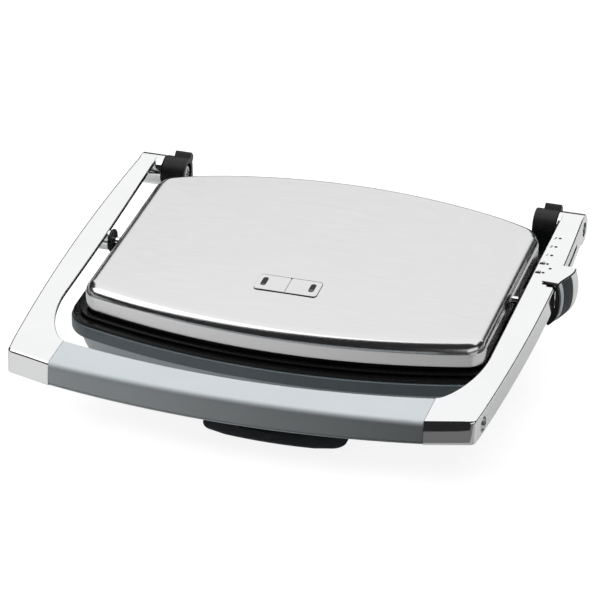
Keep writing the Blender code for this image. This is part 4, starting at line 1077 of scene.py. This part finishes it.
# ---------------------------------------- pieces whose CAD outside is right
def make_plain_pieces():
    for node, material, body, width in (
            ("base_cover", "black_plastic", "base", 0.4), ("drain_tube", "silicone", "base", 0.3),
            ("lower_reflector", "aluminium", "base", 0.15), ("lower_element", "zinc_steel", "base", 0.2),
            ("lower_thermostat", "steatite", "base", 0.3), ("thermal_fuse", "silicone", "base", 0.2),
            ("terminal_block", "steatite", "base", 0.4), ("tray_rail_left", "black_plastic", "base", 0.3),
            ("tray_rail_right", "black_plastic", "base", 0.3), ("grip_bar", "zinc_steel", "arms", 0.4),
            ("detent_plate", "zinc_steel", "arms", 0.2), ("upper_reflector", "aluminium", "lid", 0.15),
            ("upper_element", "zinc_steel", "lid", 0.2), ("upper_thermostat", "steatite", "lid", 0.3),
            ("lamp_board", "tray_plastic", "lid", 0.2)):
        softened(node, material, body, width)


# ---------------------------------------- studio
BLACK, WHITE = (0.0, 0.0, 0.0), (1.0, 1.0, 1.0)
FLOOR_SPAN = 5.0  # metres from the middle to the floor's edge
CARD_Z = -0.001  # cards for bounced light and reflections lie just under the floor
DIM_Z = -0.0008
CEILING = 3.3


def glowing(name, colour, glow):
    """A matt material of the studio. Glow is how bright it shines by itself, with 1 as white."""
    made, tree, shader = blank(name)
    dress(tree, shader, Roughness=0.9, Base_Color=colour, Emission_Color=WHITE, Emission_Strength=glow)
    return made


def graded(name, left_glow, left_x, right_glow, right_x):
    """A card's glow, even on both sides and fading across the press in between."""
    made = glowing(name, BLACK, 0.0)
    tree = made.node_tree
    glow = ranged(tree, part_of(tree, here(tree), "X"), left_glow, right_glow, left_x, right_x)
    dress(tree, tree.nodes["Principled BSDF"], Emission_Strength=glow)
    return made


def hide(thing, *kinds):
    """Keeps a studio piece out of these kinds of ray."""
    for kind in kinds:
        setattr(thing, "visible_" + kind, False)


def stage_sheet(name, plan, z, material, *unseen):
    """A flat sheet of the studio, in metres."""
    mesh = bpy.data.meshes.new(name)
    mesh.from_pydata([(x, y, z) for x, y in plan], [], [range(len(plan))])
    mesh.materials.append(material)
    made = placed(name, mesh)
    hide(made, *unseen)


def softbox(name, place, aim, width, height, glow, *unseen):
    """A rectangular soft light. Glow is how bright its face is, with 1 as white."""
    lamp = bpy.data.lights.new(name, "AREA")
    lamp.shape = "RECTANGLE"
    lamp.size, lamp.size_y = width, height
    lamp.energy = glow * pi * width * height
    made = placed(name, lamp)
    made.location = place
    made.rotation_euler = (Vector(aim) - Vector(place)).to_track_quat("-Z", "Y").to_euler()
    hide(made, "camera", *unseen)


def make_backdrop():
    """A pale surround that fills the view behind the press, and lights nothing."""
    ball = bmesh.new()
    bmesh.ops.create_uvsphere(ball, u_segments=48, v_segments=24, radius=9.0)
    made = placed("backdrop", meshed("backdrop", ball))
    made.data.materials.append(glowing("pale_backdrop", BLACK, 1.0))
    hide(made, "diffuse", "glossy", "shadow", "transmission")


def make_cards():
    """The table's bounce behind and in front, and two cards that only polished faces reflect."""
    rear = [(-2.2, -0.15), (2.2, -0.15), (2.2, 3.6), (-2.2, 3.6)]
    front = [(-2.2, -1.45), (0.8, -0.15), (-2.2, -0.15)]
    apron = [(-2.2, -1.45), (0.3, -1.45), (0.3, -0.15), (-2.2, -0.15)]
    corner = [(0.17, -0.45), (0.6, -0.45), (0.6, -0.30), (0.17, -0.30)]
    high = [(0.3, 0.1), (-5.4, 0.1), (-5.4, -2.6), (-3.6, -3.6), (-1.2, -1.6)]
    for name, plan, z, material, *unseen in (
            ("rear_card", rear, CARD_Z, glowing("rear_card", (0.42, 0.42, 0.42), 0.0)),
            ("front_card", front, CARD_Z, graded("front_card", 0.74, -0.30, 0.36, 0.28), "diffuse"),
            ("front_bounce", apron, CARD_Z, graded("front_bounce", 0.85, -0.22, 0.0, 0.16), "glossy"),
            ("front_dim", corner, DIM_Z, glowing("front_dim", BLACK, 0.14), "diffuse", "shadow"),
            ("left_high_card", high, CEILING, glowing("left_high_card", BLACK, 1.7), "diffuse", "shadow")):
        stage_sheet(name, plan, z, material, "camera", *unseen)


def make_studio():
    s = FLOOR_SPAN
    stage_sheet("floor", [(-s, -s), (s, -s), (s, s), (-s, s)], 0.0,
                glowing("pale_floor", (0.18, 0.18, 0.18), 0.88), "diffuse", "glossy", "shadow")
    make_cards()
    make_backdrop()
    softbox("rear_softbox", (0.0, 3.3, 2.35), (0, 0, 2.35), 6.0, 1.9, 1.0)
    softbox("ceiling_softbox", (0.0, 1.7, CEILING), (0, 1.7, 0), 6.0, 3.2, 1.05)
    softbox("left_softbox", (-2.6, -2.0, 1.5), (0, 0, 0.1), 2.4, 2.4, 1.3, "glossy")
    softbox("right_softbox", (2.7, -2.0, 1.35), (0, 0, 0.1), 4.0, 2.0, 0.8, "diffuse")
    softbox("top_fill", (0.0, 1.0, 3.2), (0, 1.0, 0), 4.0, 2.6, 5.0, "glossy")
    world = bpy.data.worlds.new("studio")
    world.use_nodes = True
    world.node_tree.nodes["Background"].inputs["Color"].default_value = (0.02, 0.02, 0.021, 1)
    bpy.context.scene.world = world
    bpy.context.scene.view_settings.view_transform = "Standard"


def make_camera():
    """The photograph's viewing angle: a long lens from the front right, looking down."""
    azimuth, elevation = radians(16.661), radians(29.505)
    distance = 2.9888
    back = Vector((sin(azimuth) * cos(elevation), -cos(azimuth) * cos(elevation), sin(elevation)))
    right = Vector((cos(azimuth), sin(azimuth), 0))
    up = back.cross(right)
    target = ORIGIN + Vector((0, 0, 0.102))
    aim = target - right * 0.0047 - up * 0.0213
    data = bpy.data.cameras.new("camera")
    data.lens, data.sensor_width = 233.73, 36.0
    camera = placed("camera", data)
    camera.location = target + back * distance
    camera.rotation_euler = (aim - camera.location).to_track_quat("-Z", "Y").to_euler()
    bpy.context.scene.camera = camera


FINISHES = make_finishes()
make_camera()
make_studio()
make_lid()
make_lid_frame()
make_upper_plate()
make_indicator()
make_housing()
make_lower_plate()
make_feet()
make_screws()
make_hinges()
make_gland()
make_tray()
for arm_side, arm_sign in SIDES:
    make_arm(arm_side, arm_sign)
make_pivots()
make_grip()
make_slider()
make_scale()
make_plain_pieces()
